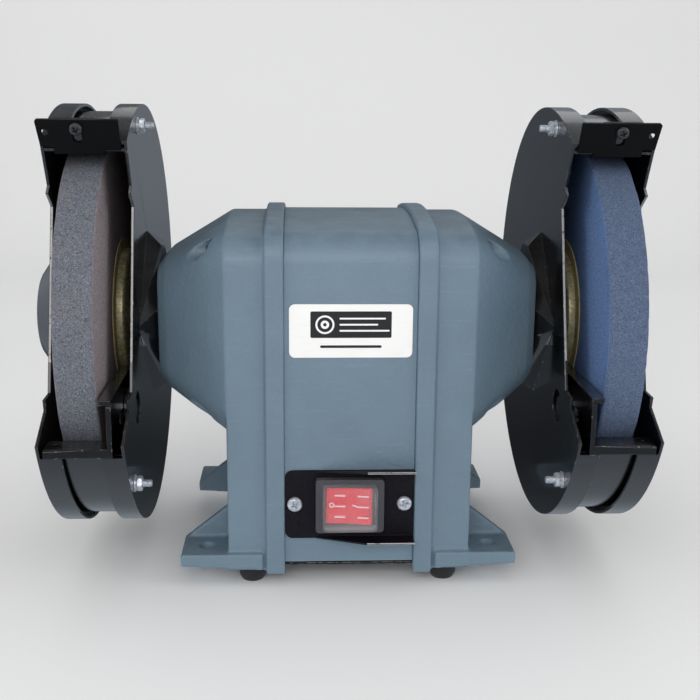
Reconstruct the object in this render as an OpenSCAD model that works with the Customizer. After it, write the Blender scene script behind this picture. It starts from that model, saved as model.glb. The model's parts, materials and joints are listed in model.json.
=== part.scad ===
// Bench grinder with a 200 mm wheel at each end of one motor spindle.
// +X runs along the spindle to the right, -Y faces the user, +Z is up and the bench is Z = 0.

/* [Body] */
// Height of the spindle above the bench
spindle_h = 138; // [132:1:150]
// Width of the shell between the two end castings
centre_w = 69.4; // [66:0.2:90]
// Width of the raised band round each end casting
band_w = 10; // [7:0.5:14]
// How far the band stands proud of the shell
band_raise = 2.3; // [1:0.1:4]
// Width of each leg outside its band
leg_w = 20.5; // [18:0.5:28]
// Length of the tapered nose of each end casting
nose_len = 38.3; // [36:0.5:50]
// Depth of the shell, front to back
body_d = 140; // [134:1:160]
// Top of the shell above the spindle
body_rise = 59; // [58:0.5:70]
// Radius of the gentle crown over the top
crown_r = 330; // [250:5:600]
// Radius of the body's long upper corners
corner_r = 16; // [12:1:20]
// Height of the nose's small end
nose_h = 74; // [70:1:84]
// Depth of the nose's small end
nose_d = 80; // [74:1:96]
// Wall of the end castings
cast_wall = 4; // [3:0.5:5]
// Wall of the centre shell
shell_wall = 2.5; // [1.5:0.25:3.5]
// Clearance under the bands
band_clear = 8; // [6:0.5:10]
// Clearance under the centre shell
shell_clear = 14; // [12:0.5:18]

/* [Feet] */
// Reach of each foot flange beyond its leg
flange_reach = 25.6; // [22:0.2:32]
// Width of each foot flange, front to back
flange_d = 29.2; // [24:0.2:34]
// Thickness of a flange at its outer end
flange_t = 6.9; // [5:0.1:9]
// Underside of a flange at its outer end
flange_clear = 12.6; // [11:0.1:16]
// Height of the gusset above the flange
gusset_h = 19.5; // [14:0.5:24]
// Thickness of the gusset
gusset_t = 4; // [3:0.5:6]
// Radius of the bench bolt holes
bolt_hole_r = 4; // [3:0.25:5]
// Spacing of the bench bolt holes along X
bolt_span_x = 155; // [152:1:162]
// Spacing of the bench bolt holes along Y
bolt_span_y = 117; // [112:1:122]
// Diameter of a rubber foot
foot_d = 15; // [12:0.5:18]

/* [Motor] */
// Outside diameter of the stator laminations
stator_d = 106; // [100:1:108]
// Length of the stator stack
stator_len = 60; // [50:1:64]
// Number of stator slots
slots = 24; // [18:6:36]
// Diameter of the rotor
rotor_d = 56; // [50:1:60]
// Gap between rotor and stator
air_gap = 0.4; // [0.3:0.05:0.6]
// Outside diameter of the ball bearings
bearing_od = 40; // [35:1:42]
// Width of the ball bearings
bearing_w = 12; // [11:0.5:14]
// Spindle diameter at the bearings
bearing_id = 17; // [17:0.5:20]
// Gap between the balls and the outer race
ball_gap = 0.05; // [0.02:0.01:0.1]

/* [Wheels] */
// Outside diameter of the grinding wheels
wheel_d = 200; // [180:1:205]
// Width of the grinding wheels
wheel_w = 20; // [16:0.5:25]
// Spindle diameter through the wheels
arbor_d = 16; // [14:0.5:16]
// Radial clearance of wheels, washers and flanges on the spindle
arbor_gap = 0.05; // [0.02:0.01:0.1]
// Thickness of a paper blotter
blotter_t = 0.6; // [0.4:0.1:1]
// Radius of a blotter
blotter_r = 43; // [40:0.5:46]
// Radius of a wheel flange
clamp_r = 37; // [34:0.5:39]
// Thickness of a wheel flange
clamp_t = 7; // [5:0.5:8]
// Thickness of a spindle nut
nut_t = 12; // [8:0.5:13]
// Width of a spindle nut across its flats
nut_flats = 24; // [22:0.5:26]

/* [Guards] */
// Radius of the guard discs
guard_r = 117; // [114:0.5:124]
// Depth of the pressed boss between casting and guard
guard_boss = 8.9; // [8:0.1:12]
// Space between the inner disc and the wheel
inner_space = 12.6; // [12:0.1:16]
// Space between the wheel and the cover
outer_space = 7.4; // [7:0.1:10]
// Sheet steel thickness
sheet = 1.6; // [1.2:0.1:2]
// Width of the lip on each disc
lip_w = 12; // [8:0.5:13]
// Radial step from a lip down to the band between the discs
lip_step = 2.4; // [2:0.1:4]
// Distance from the spindle to the straight edge of the opening
chord = 63; // [60:0.5:66]
// Backward lean of the opening
opening_tilt = 17.6; // [12:0.2:22]
// Radius of the circle of cover screws
cover_bolt_r = 108.9; // [108:0.1:110]

/* [Rests and arrestors] */
// Top of the tool rest below the spindle
rest_drop = 47.5; // [46:0.5:50]
// Depth of the tool rest plate
rest_d = 15; // [12:0.5:18]
// Gap between the tool rest and the wheel
rest_gap = 3; // [2.5:0.1:4]
// Thickness of the tool rest plate
rest_t = 2.5; // [2:0.1:3]
// Gap between a spark arrestor and the wheel
arrestor_gap = 10.3; // [9:0.1:12]

/* [Switch and label] */
// Width of the switch plate
switch_plate_w = 69; // [64:0.5:69]
// Height of the switch plate
switch_plate_h = 38.4; // [36:0.2:42]
// Height of the switch centre above the bench
switch_h = 47.8; // [46:0.5:52]
// Width of the switch bezel
bezel_w = 36.5; // [34:0.5:38]
// Height of the switch bezel
bezel_h = 30; // [28:0.5:31]
// Swing of the rocker between off and on
rocker_swing = 16; // [10:1:18]
// Width of the label
label_w = 64; // [50:1:66]
// Height of the label
label_h = 28.2; // [20:0.2:34]

/* [Hidden] */
$fn = 96;

slate = [0.42, 0.48, 0.53];
gloss_black = [0.06, 0.06, 0.07];
zinc = [0.78, 0.79, 0.8];
bright_steel = [0.7, 0.7, 0.72];

// Stations along the spindle, from the middle outward
shell_x = centre_w / 2;
band_x = shell_x + band_w;
leg_x = band_x + leg_w;
nose_x = leg_x + nose_len;
disc_x = nose_x + guard_boss;
wheel_x = disc_x + sheet + inner_space;
wheel_end_x = wheel_x + wheel_w;
cover_x = wheel_end_x + outer_space;
clamp_x = wheel_x - blotter_t - clamp_t;
nut_x = wheel_end_x + blotter_t + clamp_t;
spindle_end_x = nut_x + nut_t + 1.5;
dome_x = spindle_end_x + 2.2 + sheet;

// Guard opening, drawn in a frame that leans back with the opening
ear_n = chord + 11.5;
flare_n = chord + 8.5;
flare_s = 57.5;
flare_angle = 44.1;
// The corner where the upper flare starts, seen from the side
flare_y = -flare_n * cos(opening_tilt) + flare_s * sin(opening_tilt);
flare_z = flare_n * sin(opening_tilt) + flare_s * cos(opening_tilt);
flare_lean = flare_angle - opening_tilt;
band_r = guard_r - sheet - lip_step;

// Tool rest, measured from the spindle
rest_wheel_y = sqrt(pow(wheel_d / 2, 2) - pow(rest_drop, 2));
rest_back_y = rest_wheel_y + rest_gap;
rest_front_y = rest_back_y + rest_d;
rest_web_x = disc_x + 6.1;
rest_bolt_y = -58;
rest_bolt_z = -40;
rest_bolt_r = 3;
rest_in = 2;
rest_out = 15;
lip_top_z = -rest_drop - 5;

// The middle of the whole object's depth stands over the origin
flare_b = flare_n * sin(flare_angle) + flare_s * cos(flare_angle);
flare_len = sqrt(pow(flare_b, 2) - pow(flare_n, 2) - pow(flare_s, 2) + pow(guard_r, 2)) - flare_b;
tip_n = flare_n + flare_len * sin(flare_angle);
tip_s = flare_s + flare_len * cos(flare_angle);
front_reach = max(rest_front_y, tip_n * cos(opening_tilt) + tip_s * sin(opening_tilt));
spindle_y = (front_reach - guard_r) / 2;

// Body
band_top = body_rise + band_raise + 0.5;
cast_top = body_rise - 1;
half_d = body_d / 2;
panel_y = -half_d;
bolt_y = half_d - 20;
bolt_z = body_rise - 15.5;
bolt_r = 2.5;
pocket_r = 5.6;
pocket_x = leg_x + 4;
seat_x = nose_x - cast_wall - bearing_w - 0.6;
foot_x = band_x + foot_d / 2 + 0.4;
foot_y = half_d - cast_wall - foot_d / 2 - 0.5;
foot_boss_r = 6.5;
foot_boss_h = 18;
foot_rib_t = 4;
cover_z = 10;
cover_t = 1.5;
cover_gap = 0.5;
cover_top = cover_z + cover_t;
housing_wall = 5;
spigot_wall = 3;
pocket_wall = 2.4;
base_screw_r = 2;
guard_bolt_r = 2.1;
bolt_flats = 8;
bolt_head_h = 4;

// Spindle stations
rotor_r = rotor_d / 2;
bore_r = rotor_r + air_gap;
stator_r = stator_d / 2;
journal_r = bearing_id / 2;
arbor_r = arbor_d / 2;

// ---------- placing ----------

module on_bench() translate([0, spindle_y, 0]) children();

module about_spindle() translate([0, spindle_y, spindle_h]) children();

// Both ends of the machine: the children as drawn and their mirror image
module both_ends() {
    children();
    mirror([1, 0, 0]) children();
}

// A 2-D outline in Y and Z, extruded from x0 to x1
module slab_x(x0, x1) {
    translate([x0, 0, 0])
        rotate([90, 0, 90])
            linear_extrude(height = x1 - x0) children();
}

// A round bar along X
module bar_x(r, x0, x1) {
    translate([x0, 0, 0]) rotate([0, 90, 0]) cylinder(r = r, h = x1 - x0);
}

// A ring along X
module ring_x(r_in, r_out, x0, x1) {
    difference() {
        bar_x(r_out, x0, x1);
        bar_x(r_in, x0 - 1, x1 + 1);
    }
}

// A hexagon along X
module hex_x(flats, x0, x1) {
    translate([x0, 0, 0]) rotate([0, 90, 0]) cylinder(r = flats / sqrt(3), h = x1 - x0, $fn = 6);
}

// A [radius, x] profile turned about the X axis
module turned_x(profile) rotate([0, 90, 0]) rotate_extrude() polygon(profile);

function arc(c, r, a0, a1, n) =
    [for (i = [0 : n]) let (a = a0 + (a1 - a0) * i / n) [c[0] + r * cos(a), c[1] + r * sin(a)]];

// ---------- body outlines, in Y and Z from the spindle ----------

// The crowned top of the body, from the right corner over to the left one
function crowned_top(hy, top, rc, n) =
    let (k = top - crown_r,
         zc = k + sqrt(pow(crown_r - rc, 2) - pow(hy - rc, 2)),
         a = atan2(zc - k, hy - rc))
    concat(arc([hy - rc, zc], rc, 0, a, n),
           arc([0, k], crown_r, a, 180 - a, n),
           arc([rc - hy, zc], rc, 180 - a, 180, n));

function body_outline(hy, top, low, rc) =
    concat([[hy, low]], crowned_top(hy, top, rc, 8), [[-hy, low]]);

// A closed section of the nose, crowned above and below
function nose_outline(hy, hz, rc) =
    let (top = crowned_top(hy, hz, rc, 6))
    concat(top, [for (p = top) [-p[0], -p[1]]]);

module nose(inset) {
    small_y = nose_d / 2 - inset;
    small_z = nose_h / 2 - inset;
    edge = 5;
    hull() {
        slab_x(leg_x - 0.2, leg_x)
            polygon(nose_outline(half_d - inset, cast_top - inset, corner_r - inset / 2));
        slab_x(nose_x - edge - inset, nose_x - edge + 0.2 - inset)
            polygon(nose_outline(small_y + 0.6, small_z + 0.6, corner_r - inset / 2));
        slab_x(nose_x - 0.2 - inset, nose_x - inset)
            polygon(nose_outline(small_y - edge, small_z - edge, corner_r - edge));
    }
}

// ---------- castings ----------

module at_bolts() {
    for (sy = [-1, 1], sz = [-1, 1]) translate([0, sy * bolt_y, sz * bolt_z]) children();
}

module at_guard_screws(r) {
    for (a = [90, 210, 330]) rotate([a, 0, 0]) translate([0, r, 0]) children();
}

guard_screw_r = bearing_od / 2 + 4;

// One foot flange with its gusset, front right
module foot_flange() {
    back_y = panel_y - 2.3 + flange_d;
    end_x = leg_x + flange_reach;
    top_z = flange_clear + flange_t;
    translate([0, back_y, 0]) rotate([90, 0, 0]) linear_extrude(height = flange_d) polygon([
        [band_x + 2, top_z], [end_x - 1, top_z], [end_x, top_z - 1],
        [end_x, flange_clear], [band_x + 2, flange_clear - 2.4]
    ]);
    translate([0, back_y, 0]) rotate([90, 0, 0]) linear_extrude(height = gusset_t) polygon([
        [leg_x - 2, top_z - 1], [end_x - 1, top_z - 1], [end_x - 1, top_z],
        [leg_x, top_z + gusset_h], [leg_x - 2, top_z + gusset_h]
    ]);
}

module casting() {
    low = band_clear - spindle_h;
    difference() {
        union() {
            about_spindle() slab_x(shell_x, band_x)
                polygon(body_outline(half_d + band_raise, band_top, low, corner_r));
            about_spindle() slab_x(band_x - 0.1, leg_x)
                polygon(body_outline(half_d, cast_top, low + 1.4, corner_r));
            about_spindle() nose(0);
            on_bench() foot_flange();
            on_bench() mirror([0, 1, 0]) foot_flange();
        }
        // Hollow of the leg, open below and toward the shell
        about_spindle() slab_x(shell_x - 1, leg_x - cast_wall)
            polygon(body_outline(half_d - cast_wall, cast_top - cast_wall, low - 1, corner_r - 2));
        about_spindle() intersection() {
            nose(cast_wall);
            bar_x(half_d + 30, leg_x - cast_wall - 1, seat_x);
        }
        about_spindle() slab_x(leg_x - cast_wall - 1, leg_x)
            polygon(nose_outline(half_d - cast_wall, cast_top - cast_wall, corner_r - 2));
        // Bench bolt holes
        for (sy = [-1, 1]) on_bench()
            translate([bolt_span_x / 2, sy * bolt_span_y / 2, -1]) cylinder(r = bolt_hole_r, h = 40);
        casting_bores();
    }
    difference() {
        union() {
            // Bearing housing
            about_spindle() bar_x(bearing_od / 2 + housing_wall, seat_x, nose_x - 1);
            // Spigot and diaphragm that hold the stator
            about_spindle() bar_x(stator_r + spigot_wall, stator_len / 2 - 4, shell_x + 6);
            about_spindle() slab_x(shell_x, shell_x + cast_wall)
                polygon(body_outline(half_d - cast_wall + 0.1, cast_top - cast_wall + 0.1,
                                     -stator_r - 6, corner_r - 2));
            // Bosses for the four through bolts
            about_spindle() intersection() {
                at_bolts() bar_x(pocket_r + pocket_wall, leg_x - cast_wall - 6, nose_x);
                nose_solid();
            }
            // Bosses for the rubber feet
            for (sy = [-1, 1]) on_bench() translate([foot_x, sy * foot_y, cover_top]) {
                cylinder(r = foot_boss_r, h = foot_boss_h);
                translate([-foot_rib_t / 2, sy > 0 ? 0 : foot_y - half_d + 2, 0])
                    cube([foot_rib_t, half_d - 2 - foot_y, foot_boss_h]);
                translate([0, -foot_rib_t / 2, 0]) cube([leg_x - 2 - foot_x, foot_rib_t, foot_boss_h]);
            }
        }
        about_spindle() bar_x(stator_r, 0, shell_x + 12);
        casting_bores();
        for (sy = [-1, 1]) on_bench()
            translate([foot_x, sy * foot_y, 0]) cylinder(r = base_screw_r, h = 22);
    }
}

// The nose and the leg together, as a limit for the bolt bosses
module nose_solid() {
    nose(0.1);
    slab_x(shell_x, leg_x) polygon(body_outline(half_d - 0.1, cast_top - 0.1, -100, corner_r));
}

module casting_bores() {
    about_spindle() {
        bar_x(bearing_od / 2, seat_x - 8, nose_x - cast_wall);
        bar_x(arbor_r + 2.2, 60, nose_x + 1);
        at_bolts() bar_x(bolt_r + 0.3, 0, nose_x + 10);
        at_bolts() bar_x(pocket_r, pocket_x, nose_x + 10);
        at_guard_screws(guard_screw_r) bar_x(guard_bolt_r, nose_x - 12, nose_x + 1);
    }
}

module casting_right() {
    color(slate) casting();
}

module casting_left() {
    color(slate) mirror([1, 0, 0]) casting();
}

// ---------- centre of the body ----------

module centre_shell() {
    low = shell_clear - spindle_h;
    color(slate) difference() {
        about_spindle() slab_x(-shell_x, shell_x)
            polygon(body_outline(half_d, body_rise, low, corner_r));
        about_spindle() slab_x(-shell_x - 1, shell_x + 1)
            polygon(body_outline(half_d - shell_wall, body_rise - shell_wall, low - 1,
                                 corner_r - shell_wall));
        // Opening for the switch
        on_bench() translate([-switch_body_w / 2 - 0.3, panel_y - 5, switch_h - switch_body_h / 2 - 0.3])
            cube([switch_body_w + 0.6, 12, switch_body_h + 0.6]);
        on_bench() at_plate_screws() translate([0, -5, 0]) rotate([-90, 0, 0])
            cylinder(r = plate_screw_r - 0.3, h = 14);
        // Hole for the cable gland at the rear
        on_bench() translate([gland_x, half_d - 6, gland_z]) rotate([-90, 0, 0])
            cylinder(r = gland_r, h = 12);
        // Tapped hole for the earth screw
        on_bench() translate([earth_x, half_d - 6, earth_z]) rotate([-90, 0, 0])
            cylinder(r = earth_r, h = 12);
    }
}

module base_cover() {
    half_x = leg_x - cast_wall - cover_gap;
    half_y = half_d - cast_wall - cover_gap;
    slot = 3;
    color(gloss_black) on_bench() difference() {
        translate([-half_x, -half_y, cover_z]) cube([2 * half_x, 2 * half_y, cover_t]);
        at_feet() cylinder(r = base_screw_r + 0.3, h = 20);
        for (sx = [-1, 1]) translate([sx * clip_x, clip_y, 0]) cylinder(r = clip_hole_r, h = 20);
        // Cooling slots
        for (i = [-3 : 3]) translate([i * 8 - slot / 2, -35, cover_z - 1]) cube([slot, 30, cover_t + 2]);
    }
}

module at_feet() {
    for (sx = [-1, 1], sy = [-1, 1]) translate([sx * foot_x, sy * foot_y, 0]) children();
}

foot_recess_r = 4.2;
foot_recess_h = 4;

module rubber_feet() {
    color([0.09, 0.09, 0.09]) on_bench() at_feet() difference() {
        union() {
            cylinder(r1 = foot_d / 2 - 1.2, r2 = foot_d / 2, h = foot_recess_h);
            translate([0, 0, foot_recess_h]) cylinder(r = foot_d / 2, h = cover_z - foot_recess_h);
        }
        translate([0, 0, -1]) cylinder(r = foot_recess_r, h = foot_recess_h + 1);
        cylinder(r = base_screw_r + 0.3, h = 20);
    }
}

// Screws that hold the rubber feet and the base cover to the castings
module base_screws() {
    color(zinc) on_bench() at_feet() {
        translate([0, 0, foot_recess_h]) mirror([0, 0, 1]) screw(base_screw_r, 3.8, 2.2, 0);
        translate([0, 0, foot_recess_h]) cylinder(r = base_screw_r, h = 16);
    }
}

// A screw along +Z: its head's underside is at zero and the head rises above it
module screw(shank_r, head_r, head_h, length) {
    difference() {
        union() {
            cylinder(r = head_r, h = head_h * 0.5);
            translate([0, 0, head_h * 0.5]) cylinder(r1 = head_r, r2 = head_r * 0.72, h = head_h * 0.5);
        }
        for (a = [0, 90]) rotate([0, 0, a])
            translate([-head_r * 0.55, -head_r * 0.11, head_h * 0.45])
                cube([head_r * 1.1, head_r * 0.22, head_h]);
    }
    if (length > 0) translate([0, 0, -length]) cylinder(r = shank_r, h = length + 0.1);
}

// The same screw with its head facing +X, underside at x
module screw_x(x, shank_r, head_r, head_h, length) {
    translate([x, 0, 0]) rotate([0, 90, 0]) screw(shank_r, head_r, head_h, length);
}

module through_bolts() {
    color(zinc) about_spindle() at_bolts() {
        bar_x(bolt_r, -pocket_x - 6, pocket_x + 0.1);
        difference() {
            hex_x(bolt_flats, pocket_x, pocket_x + bolt_head_h);
            bar_x(2.6, pocket_x + bolt_head_h - 1, pocket_x + bolt_head_h + 1);
        }
    }
}

module through_bolt_nuts() {
    color(zinc) about_spindle() at_bolts() difference() {
        hex_x(bolt_flats, -pocket_x - bolt_head_h, -pocket_x);
        bar_x(bolt_r, -pocket_x - bolt_head_h - 1, 0);
    }
}

// ---------- bearings ----------

ball_r = 3.4;
ball_circle = (bearing_od + bearing_id) / 4;
race_lip = 2.2;
bearing_mid = seat_x + bearing_w / 2;

module bearing_outer_rings() {
    color(bright_steel) about_spindle() both_ends() difference() {
        ring_x(ball_circle + race_lip, bearing_od / 2, seat_x, seat_x + bearing_w);
        ball_race(ball_r + ball_gap);
    }
}

module bearing_inner_rings() {
    color(bright_steel) about_spindle() both_ends() difference() {
        ring_x(journal_r, ball_circle - race_lip, seat_x, seat_x + bearing_w);
        ball_race(ball_r);
    }
}

module ball_race(r) {
    translate([bearing_mid, 0, 0]) rotate([0, 90, 0])
        rotate_extrude() translate([ball_circle, 0]) circle(r = r);
}

module bearing_balls() {
    color([0.85, 0.85, 0.86]) about_spindle() both_ends()
        for (a = [0 : 45 : 315]) rotate([a, 0, 0])
            translate([bearing_mid, ball_circle, 0]) sphere(r = ball_r);
}

// Takes up end play behind the right bearing
module bearing_spring_washer() {
    color(bright_steel) about_spindle()
        ring_x(bearing_od / 2 - 4, bearing_od / 2 - 0.4, seat_x + bearing_w, seat_x + bearing_w + 0.6);
}

// ---------- motor ----------

slot_w = 3.6;
slot_mouth = 1.6;
tooth_tip = 2.5;
slot_floor = stator_r - 10;

module stator_core() {
    color([0.35, 0.36, 0.38]) about_spindle() difference() {
        bar_x(stator_r, -stator_len / 2, stator_len / 2);
        bar_x(bore_r, -stator_len, stator_len);
        at_slots() translate([-stator_len, bore_r + tooth_tip, -slot_w / 2])
            cube([2 * stator_len, slot_floor - bore_r - tooth_tip, slot_w]);
        at_slots() translate([-stator_len, bore_r - 2, -slot_mouth / 2])
            cube([2 * stator_len, tooth_tip + 3.5, slot_mouth]);
    }
}

module at_slots() {
    for (i = [0 : slots - 1]) rotate([i * 360 / slots, 0, 0]) children();
}

module stator_windings() {
    lead = 0.15;
    r0 = bore_r + tooth_tip + lead;
    r1 = slot_floor - lead;
    end_x = stator_len / 2;
    color([0.62, 0.33, 0.16]) about_spindle() {
        at_slots() translate([-end_x - 1, r0, -slot_w / 2 + lead])
            cube([2 * end_x + 2, r1 - r0, slot_w - 2 * lead]);
        both_ends() turned_x([[r0 - 0.1, end_x + 0.3], [r1 + 4, end_x + 0.3], [r1 + 5, end_x + 2],
                              [r1 + 5, end_x + 9], [r1 + 1, end_x + 13], [r0 + 3, end_x + 13],
                              [r0 - 0.1, end_x + 9]]);
    }
}

module rotor_core() {
    color([0.45, 0.45, 0.47]) about_spindle()
        ring_x(core_r, rotor_r, -stator_len / 2, stator_len / 2);
}

module rotor_end_rings() {
    color([0.75, 0.76, 0.78]) about_spindle() both_ends() {
        ring_x(core_r + 5, rotor_r - 1, stator_len / 2, stator_len / 2 + 6);
        for (a = [0 : 60 : 300]) rotate([a, 0, 0])
            translate([stator_len / 2 + 6, core_r + 8, -1]) cube([5, rotor_r - core_r - 11, 2]);
    }
}

core_r = journal_r + 2.5;

module spindle() {
    color(bright_steel) about_spindle() {
        bar_x(core_r, -stator_len / 2 - 8, stator_len / 2 + 8);
        bar_x(journal_r + 1.2, -seat_x, seat_x);
        bar_x(journal_r, -clamp_x, clamp_x);
        bar_x(arbor_r, -spindle_end_x + 1, spindle_end_x - 1);
        both_ends() translate([spindle_end_x - 1, 0, 0]) rotate([0, 90, 0])
            cylinder(r1 = arbor_r, r2 = arbor_r - 1, h = 1);
    }
}

// ---------- electrical parts in the base ----------

cap_r = 16;
cap_len = 56;
cap_y = 26;
cap_z = cover_top + 2 + cap_r;
clip_x = 8;
clip_t = 1.2;
clip_hole_r = 1.8;
clip_y = cap_y - cap_r - 9;
gland_x = 24;
gland_z = 34;
gland_r = 6;
gland_nut_r = 9;
lead_r = 3.5;
earth_x = -22;
earth_z = 28;
earth_r = 2;

module capacitor() {
    color([0.85, 0.85, 0.82]) on_bench() translate([0, cap_y, cap_z]) {
        bar_x(cap_r, -cap_len / 2, cap_len / 2);
        for (sy = [-5, 5]) translate([cap_len / 2 - 0.1, sy - 0.4, -3]) cube([8, 0.8, 6]);
    }
}

module capacitor_clip() {
    color(zinc) on_bench() {
        difference() {
            translate([0, cap_y, cap_z]) ring_x(cap_r + 0.1, cap_r + 0.1 + clip_t, -7, 7);
            translate([-8, cap_y - cap_r - 4, cap_z - cap_r + 2]) cube([16, 8, 8]);
        }
        difference() {
            translate([-clip_x - 5, clip_y - 5, cover_top])
                cube([2 * clip_x + 10, cap_y - clip_y + 5, clip_t]);
            for (sx = [-1, 1]) translate([sx * clip_x, clip_y, 0]) cylinder(r = clip_hole_r, h = 20);
        }
    }
}

// The lead's inlet at the rear, with no lead in it
module cable_gland() {
    color(gloss_black) on_bench() translate([gland_x, half_d, gland_z]) rotate([-90, 0, 0])
        difference() {
            union() {
                translate([0, 0, -8]) cylinder(r = gland_r, h = 9);
                cylinder(r = gland_nut_r, h = 2.5);
                translate([0, 0, 2.5]) cylinder(r = gland_nut_r - 1, h = 5, $fn = 6);
                translate([0, 0, 7.5]) cylinder(r1 = gland_nut_r - 2, r2 = gland_nut_r - 4, h = 4);
                translate([0, 0, -shell_wall - 4]) cylinder(r = gland_nut_r, h = 4, $fn = 6);
            }
            translate([0, 0, -9]) cylinder(r = lead_r, h = 30);
        }
}

module earth_screw() {
    color([0.75, 0.6, 0.25]) on_bench()
        translate([earth_x, half_d - shell_wall, earth_z]) rotate([90, 0, 0]) {
        screw(earth_r, 3.5, 2.4, 0);
        mirror([0, 0, 1]) cylinder(r = earth_r, h = shell_wall - 0.2);
    }
}

// ---------- switch ----------

plate_t = 1;
plate_front = panel_y - plate_t;
plate_screw_x = 29.3;
plate_screw_r = 2;
switch_body_w = 29;
switch_body_h = 24;
switch_body_len = 24;
bezel_t = 5;
bezel_front = plate_front - bezel_t;
well_w = 26.6;
well_h = 21.2;
rocker_y = plate_front + 1.5;
rocker_pin_r = 1.2;

module at_plate_screws() {
    for (sx = [-1, 1]) translate([sx * plate_screw_x, panel_y, switch_h]) children();
}

// Bezel plate with its upper and lower edges turned out as guards
module switch_plate() {
    z0 = switch_h - 0.5 - switch_plate_h / 2;
    z1 = z0 + switch_plate_h;
    w = switch_plate_w / 2;
    corner = 4;
    wing_x0 = -18;
    wing_x1 = 9;
    wing_reach = 10.5;
    wing_lean = 13;
    color(gloss_black) on_bench() difference() {
        union() {
            translate([0, panel_y, 0]) rotate([90, 0, 0]) linear_extrude(height = plate_t)
                polygon(concat([[w, z0], [w, z1]],
                               arc([corner - w, z1 - corner], corner, 90, 180, 6),
                               arc([corner - w, z0 + corner], corner, 180, 270, 6)));
            // The upper wing leans up and the lower one stands straight out
            for (wing = [[z0, 0], [z1 - plate_t - 0.3, -wing_lean]])
                translate([0, panel_y - plate_t / 2, wing[0]]) rotate([wing[1], 0, 0])
                    linear_extrude(height = plate_t)
                        polygon([[wing_x0, 0], [wing_x0, -plate_t], [wing_x1, -plate_t / 2 - wing_reach],
                                 [w, -plate_t / 2 - wing_reach], [w, 0]]);
        }
        translate([-switch_body_w / 2 - 0.3, panel_y - 5, switch_h - switch_body_h / 2 - 0.3])
            cube([switch_body_w + 0.6, 12, switch_body_h + 0.6]);
        at_plate_screws() translate([0, -5, 0]) rotate([-90, 0, 0])
            cylinder(r = plate_screw_r + 0.2, h = 14);
    }
}

module switch_plate_screws() {
    color(zinc) on_bench() at_plate_screws() translate([0, -plate_t, 0]) rotate([90, 0, 0])
        screw(plate_screw_r - 0.3, 4, 2.6, plate_t + 6);
}

module switch_body() {
    color([0.2, 0.2, 0.22]) on_bench() translate([0, 0, switch_h]) difference() {
        union() {
            translate([0, plate_front, 0]) rotate([90, 0, 0]) linear_extrude(height = bezel_t)
                polygon(rounded_rect(bezel_w / 2, bezel_h / 2, 2));
            translate([-switch_body_w / 2, plate_front - 0.1, -switch_body_h / 2])
                cube([switch_body_w, switch_body_len + 0.1, switch_body_h]);
        }
        translate([-well_w / 2, bezel_front - 1, -well_h / 2]) cube([well_w, bezel_t + 11, well_h]);
        translate([0, rocker_y, -bezel_h / 2 - 1]) cylinder(r = rocker_pin_r + 0.05, h = bezel_h + 2);
    }
}

function rounded_rect(hx, hy, r) =
    concat(arc([hx - r, hy - r], r, 0, 90, 4), arc([r - hx, hy - r], r, 90, 180, 4),
           arc([r - hx, r - hy], r, 180, 270, 4), arc([hx - r, r - hy], r, 270, 360, 4));

module switch_terminals() {
    color([0.8, 0.75, 0.5]) on_bench()
        for (x = [-8, 0, 8], z = [-5, 5])
            translate([x - 0.4, plate_front + switch_body_len, switch_h + z - 3.1]) cube([0.8, 9, 6.2]);
}

// Rests with its left, off, side pressed in
module rocker() {
    hw = well_w / 2 - 0.6;
    face = bezel_front - rocker_y;
    mark_w = 6.4;
    mark_h = 1.3;
    color([0.8, 0.1, 0.1]) on_bench() translate([0, rocker_y, switch_h]) {
        rotate([0, 0, -rocker_swing / 2]) {
            translate([0, 0, -well_h / 2 + 0.5]) linear_extrude(height = well_h - 1)
                polygon([[-hw, face + 2.4], [-hw + 1.2, face + 0.2], [0, face + 1.2],
                         [hw - 1.2, face + 0.2], [hw, face + 2.4], [5, 4], [-5, 4]]);
            for (x = [-4.5, 7.9], z = [-6, 0, 6])
                translate([x - mark_w / 2, face - 0.1, z - mark_h / 2]) cube([mark_w, 1.6, mark_h]);
        }
        translate([0, 0, -well_h / 2 - 1.1]) cylinder(r = rocker_pin_r, h = well_h + 2.2);
    }
}

// Clear cover over the rocker, a frame with a thin dished skin
module rocker_boot() {
    bw = well_w / 2 + 1.2;
    bh = well_h / 2 + 1.9;
    deep = 5.2;
    skin = 0.5;
    color([0.9, 0.9, 0.95, 0.3]) on_bench() translate([0, bezel_front, switch_h]) rotate([90, 0, 0])
        difference() {
            linear_extrude(height = deep) polygon(rounded_rect(bw, bh, 2.5));
            translate([0, 0, -1]) linear_extrude(height = deep + 1 - skin)
                polygon(rounded_rect(bw - 1, bh - 1, 2));
        }
}

module label_plate() {
    label_z = spindle_h + 4.1;
    color([0.93, 0.93, 0.93]) on_bench() translate([0, panel_y, label_z]) rotate([90, 0, 0])
        linear_extrude(height = 0.4) polygon(rounded_rect(label_w / 2, label_h / 2, 3));
}

// ---------- guards ----------

// Turns the children into the leaning frame of the guard opening, whose normal is -Y
module opening_frame() rotate([-opening_tilt, 0, 0]) children();

// The space in front of the opening's edge, moved forward by grow
module opening_cut(x0, x1) {
    far = 90;
    slab_x(x0, x1) rotate([0, 0, -opening_tilt]) polygon([
        [-chord, -flare_s + 9], [-ear_n, -flare_s + 5], [-flare_n, -flare_s],
        [-flare_n - far, -flare_s - far / tan(flare_angle)],
        [-flare_n - far, flare_s + far / tan(flare_angle)],
        [-flare_n, flare_s], [-ear_n, flare_s - 5], [-chord, flare_s - 9]
    ]);
}

// Room in front of the lips and the band for the tool rest
module rest_cut(x0, x1) {
    slab_x(x0, x1) polygon([[-200, lip_top_z], [-chord, lip_top_z], [-chord, 0], [-200, 0]]);
}

module at_cover_screws() {
    for (a = [103.3, 223.3, 343.3]) rotate([a, 0, 0]) translate([0, cover_bolt_r, 0])
        rotate([-a, 0, 0]) children();
}

cover_screw_r = 2;

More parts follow.
